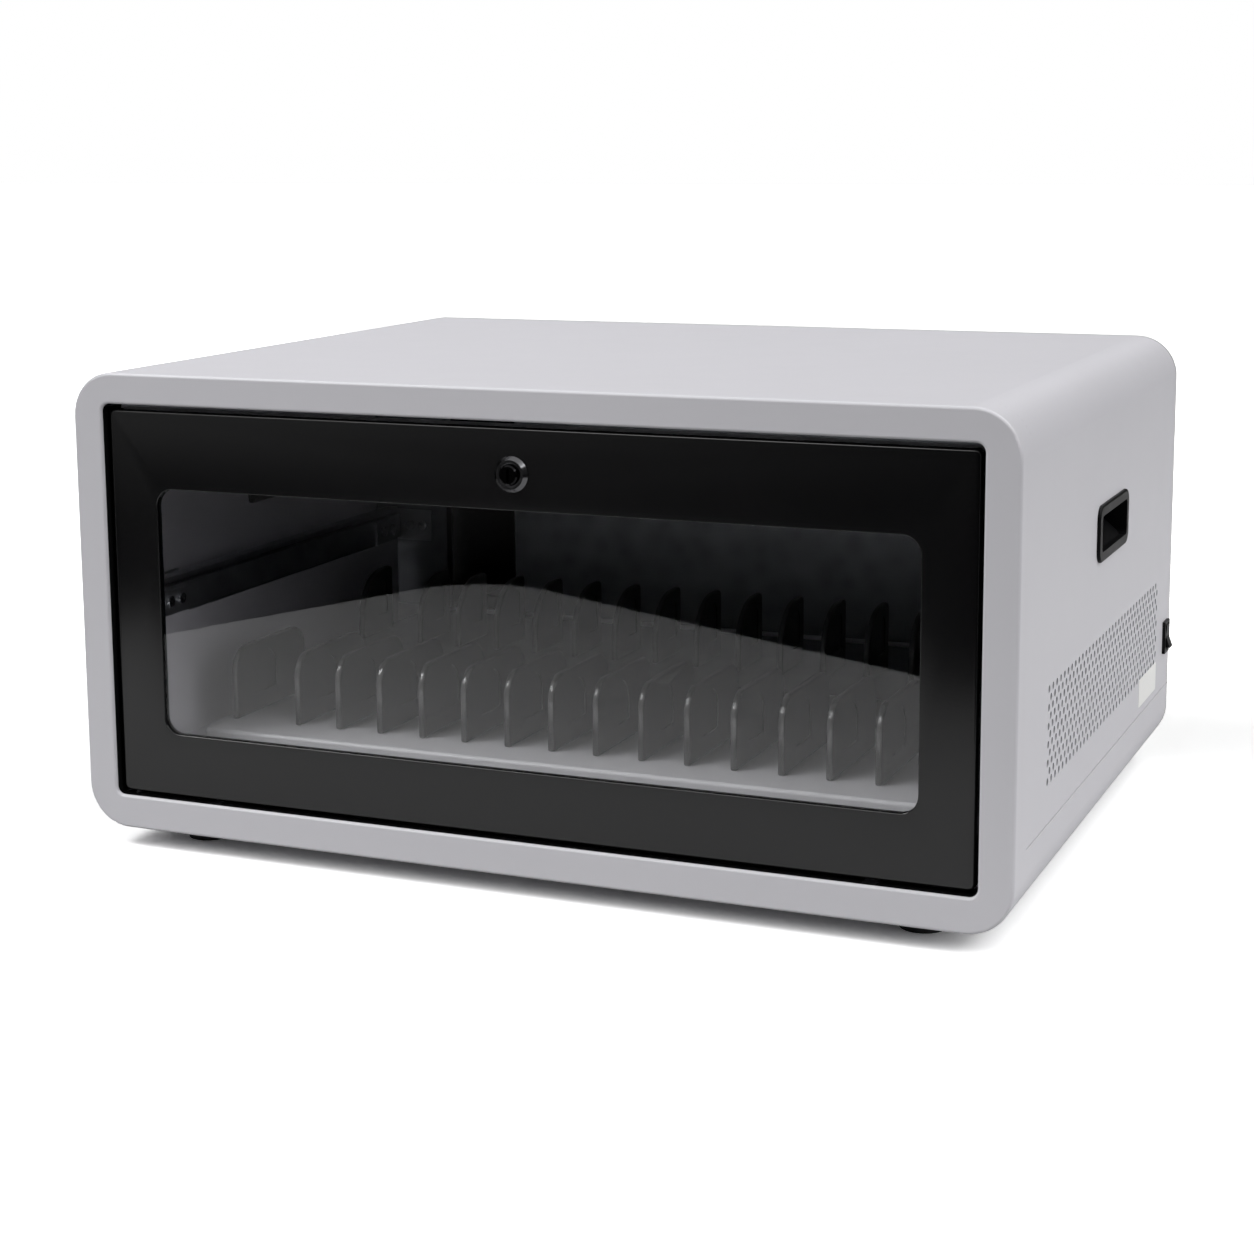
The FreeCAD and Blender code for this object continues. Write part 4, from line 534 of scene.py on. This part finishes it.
def seen_by_eye(material):
    """1 for rays straight from the camera or by mirrors and panes, and 0 once a surface scatters them."""
    path = add(material, "ShaderNodeLightPath")
    seen = path.outputs["Is Camera Ray"]
    for kind in ("Is Glossy Ray", "Is Transmission Ray"):
        either = add(material, "ShaderNodeMath", {0: seen, 1: path.outputs[kind]}, operation="MAXIMUM")
        seen = either.outputs[0]
    depth = path.outputs["Diffuse Depth"]
    direct = add(material, "ShaderNodeMath", {0: depth, 1: 0.5}, operation="LESS_THAN")
    both = add(material, "ShaderNodeMath", {0: seen, 1: direct.outputs[0]}, operation="MULTIPLY")
    return both.outputs[0]


# %% Floor
FLOOR_SIZE = 30.0
BOUNCE_LEVEL = 0.38
WHITE_LEVEL = 1.65
FADE_FAR_Y, FADE_FAR_LEVEL = -1.0, 0.25
FADE_NEAR_Y, FADE_NEAR_LEVEL = -0.5, 0.72
FIRST_FACE, LAST_FACE = 1.0, 4.0

# To the eye: paper white, with a soft shadow where the cabinet stands.
material, place, output = start_finish("table_laminate_white")
depth = add(material, "ShaderNodeSeparateXYZ", {"Vector": place}).outputs["Y"]
fade = add(material, "ShaderNodeMapRange", {
    "Value": depth, "From Min": FADE_FAR_Y, "From Max": FADE_NEAR_Y,
    "To Min": FADE_FAR_LEVEL, "To Max": FADE_NEAR_LEVEL}).outputs[0]
path = add(material, "ShaderNodeLightPath")
bent = add(material, "ShaderNodeMath", {
    0: path.outputs["Glossy Depth"], 1: 0.5}, operation="GREATER_THAN").outputs[0]
shallow = add(material, "ShaderNodeMapRange", {
    "Value": path.outputs["Transmission Depth"], "From Min": FIRST_FACE, "From Max": LAST_FACE,
    "To Min": 1.0, "To Max": 0.0}).outputs[0]
mirrored = add(material, "ShaderNodeMath", {0: bent, 1: shallow}, operation="MULTIPLY").outputs[0]
shown = add(material, "ShaderNodeMix", {0: mirrored, 2: WHITE_LEVEL, 3: fade}).outputs[0]
level = add(material, "ShaderNodeMix", {0: seen_by_eye(material), 2: BOUNCE_LEVEL, 3: shown}).outputs[0]
floor_finish = show(material, output, add(material, "ShaderNodeBsdfDiffuse", {"Color": level}))

shape = bmesh.new()
bmesh.ops.create_grid(shape, x_segments=1, y_segments=1, size=FLOOR_SIZE / 2)
floor = stage_object("floor", shape, floor_finish)
print("studio:", floor.name, FLOOR_SIZE, "m wide")

# %% [markdown]
# ## Black flags
# Above the pale hill the window mirrors a dark room. A photographer makes such dark areas with black flags,
# so black cloth lies beyond the table's edge and hangs round the studio. The cloth is drawn as a faint glow
# that grows towards the far left at the front, a painted light that stands for a lit wall there. The camera
# doesn't see it, but mirrors and bounced light do. The white sky stays open above. The cloth on the floor is
# one flat face that leaves out the table, with the table's corner rounded by a vertex bevel. The cloth round
# the room is a circle, extruded upwards.

# %% Black cloth with a painted glow
GLOW_START_X, GLOW_END_X = -0.2, -2.2
GLOW_LOW, GLOW_HIGH = 0.005, 0.32
GLOW_START_Y, GLOW_END_Y = -1.1, -1.7

# To the eye: never seen itself, only as the darkness in black paint and clear acrylic.
material, place, output = start_finish("black_flag_with_painted_glow")
across = add(material, "ShaderNodeSeparateXYZ", {"Vector": place})
left = add(material, "ShaderNodeMapRange", {
    "Value": across.outputs["X"], "From Min": GLOW_START_X, "From Max": GLOW_END_X,
    "To Min": GLOW_LOW, "To Max": GLOW_HIGH})
far = add(material, "ShaderNodeMapRange", {
    "Value": across.outputs["Y"], "From Min": GLOW_START_Y, "From Max": GLOW_END_Y,
    "To Min": 0.0, "To Max": 1.0})
# Painted light: the cloth glows brighter towards the far left at the front, where it stands for a lit wall.
glow = add(material, "ShaderNodeMath", {0: left.outputs[0], 1: far.outputs[0]}, operation="MULTIPLY")
flag_finish = show(material, output, add(material, "ShaderNodeEmission", {"Strength": glow.outputs[0]}))

# %% Flags on the floor and round the room
FLAG_LIFT = 1 * MM
TABLE_CORNER = Vector((-0.432, -1.050))
TABLE_LEFT = Vector((-0.130, 0.309))
TABLE_RIGHT = Vector((0.459, 0.234))
TABLE_END = 0.85
TABLE_RADIUS = 0.09
FLAG_REACH = 8.0
ROOM_RADIUS = 3.6
ROOM_HEIGHT = 2.4

shape = bmesh.new()
right_share = (TABLE_END - TABLE_CORNER.x) / TABLE_RIGHT.x
outline = [
    TABLE_CORNER + TABLE_LEFT * FLAG_REACH,
    TABLE_CORNER,
    TABLE_CORNER + TABLE_RIGHT * right_share,
    Vector((TABLE_END, FLAG_REACH)),
    Vector((FLAG_REACH, FLAG_REACH)),
    Vector((FLAG_REACH, -FLAG_REACH)),
    Vector((-FLAG_REACH, -FLAG_REACH)),
]
corners = [shape.verts.new((point.x, point.y, FLAG_LIFT)) for point in outline]
shape.faces.new(corners)
bmesh.ops.bevel(shape, geom=[corners[1]], offset=TABLE_RADIUS, affect="VERTICES", segments=8, profile=0.5,
                material=-1)
flags = [stage_object("floor_flag", shape, flag_finish)]

shape = bmesh.new()
bmesh.ops.create_circle(shape, segments=48, radius=ROOM_RADIUS)
raised = bmesh.ops.extrude_edge_only(shape, edges=shape.edges[:])
crown = [item for item in raised["geom"] if isinstance(item, bmesh.types.BMVert)]
bmesh.ops.translate(shape, vec=(0, 0, ROOM_HEIGHT), verts=crown)
flags.append(stage_object("room_flag", shape, flag_finish))
for flag in flags:
    flag.visible_camera = False
    flag.visible_shadow = False
print("flags:", [flag.name for flag in flags])

# %% [markdown]
# ## Light
# Three wide soft lamps do the work. One hangs overhead and to the right, so the top is the brightest face.
# One stands at the right and evens out that side. One comes from the left in front, lights the ring round
# the door and reaches through the window only to the front of the tray, where it picks out the edges of the
# fins. They are sun lamps with a wide angle, which light near and far floor alike. A soft box up on the
# left is close enough to fade from front to back, and it puts the thin light along the door's top edge. A
# weak grey world fills the shadows, and shows white to the camera and to mirrors.

# %% Lamps and world
LAMPS = {
    "overhead": (Vector((0.90, 0.15, 1.0)), 1.84, 60.0),
    "right_side": (Vector((1.0, -0.20, 0.50)), 1.5, 50.0),
    "left_front": (Vector((-0.70, -0.80, 0.90)), 1.5, 40.0),
}
BOX_PLACE = Vector((-1.60, -1.05, 2.05))
BOX_SIZE = (0.9, 0.6)
BOX_POWER = 19.0
WORLD_FILL = 0.04
WORLD_WHITE = 1.0


def hang(name, lamp, towards):
    """A lamp whose light comes from a direction."""
    hung = bpy.data.objects.new(name, lamp)
    hung.rotation_euler = towards.to_track_quat("Z", "Y").to_euler()
    bpy.context.scene.collection.objects.link(hung)
    return hung


for name, (towards, strength, spread) in LAMPS.items():
    lamp = bpy.data.lights.new(name, "SUN")
    lamp.energy = strength
    lamp.angle = math.radians(spread)
    hang(name, lamp, towards)

lamp = bpy.data.lights.new("soft_box", "AREA")
lamp.shape = "RECTANGLE"
lamp.size, lamp.size_y = BOX_SIZE
lamp.energy = BOX_POWER
hang("soft_box", lamp, BOX_PLACE).location = BOX_PLACE

world = bpy.data.worlds.new("studio")
bpy.context.scene.world = world
world.use_nodes = True
world.node_tree.nodes.clear()
level = add(world, "ShaderNodeMapRange", {
    "Value": seen_by_eye(world), "To Min": WORLD_FILL, "To Max": WORLD_WHITE})
sky = add(world, "ShaderNodeBackground", {"Color": linear("#FFFFFF"), "Strength": level.outputs[0]})
add(world, "ShaderNodeOutputWorld", {"Surface": sky.outputs[0]})
bpy.context.scene.view_settings.view_transform = "Standard"
print("lamps:", sorted(bpy.data.lights.keys()))

# %% [markdown]
# ## Camera
# The camera stands to the right of the middle, a little above the top edge, and looks down at the front
# corner. Its place, turn and lens come from fitting the photograph's edges, and the shift keeps its
# framing.

# %% Place the camera
CAMERA_PLACE = (0.5472, -1.3545, 0.4205)
YAW, PITCH, ROLL = 23.611, 9.336, 0.5026
LENS_PIXELS = 2376.2
IMAGE_SIZE = 1254
MIDDLE_PIXEL = (590.4, 518.7)

lens = bpy.data.cameras.new("photo_camera")
lens.sensor_width = 36.0
lens.lens = LENS_PIXELS * lens.sensor_width / IMAGE_SIZE
lens.shift_x = 0.5 - MIDDLE_PIXEL[0] / IMAGE_SIZE
lens.shift_y = MIDDLE_PIXEL[1] / IMAGE_SIZE - 0.5
camera = bpy.data.objects.new("photo_camera", lens)
turn = Matrix.Rotation(math.radians(YAW), 4, "Z") @ Matrix.Rotation(math.radians(90 - PITCH), 4, "X")
camera.matrix_world = Matrix.Translation(CAMERA_PLACE) @ turn @ Matrix.Rotation(math.radians(-ROLL), 4, "Z")
bpy.context.scene.collection.objects.link(camera)
bpy.context.scene.camera = camera
print("camera:", camera.name, "with a lens of", round(lens.lens, 1), "mm")
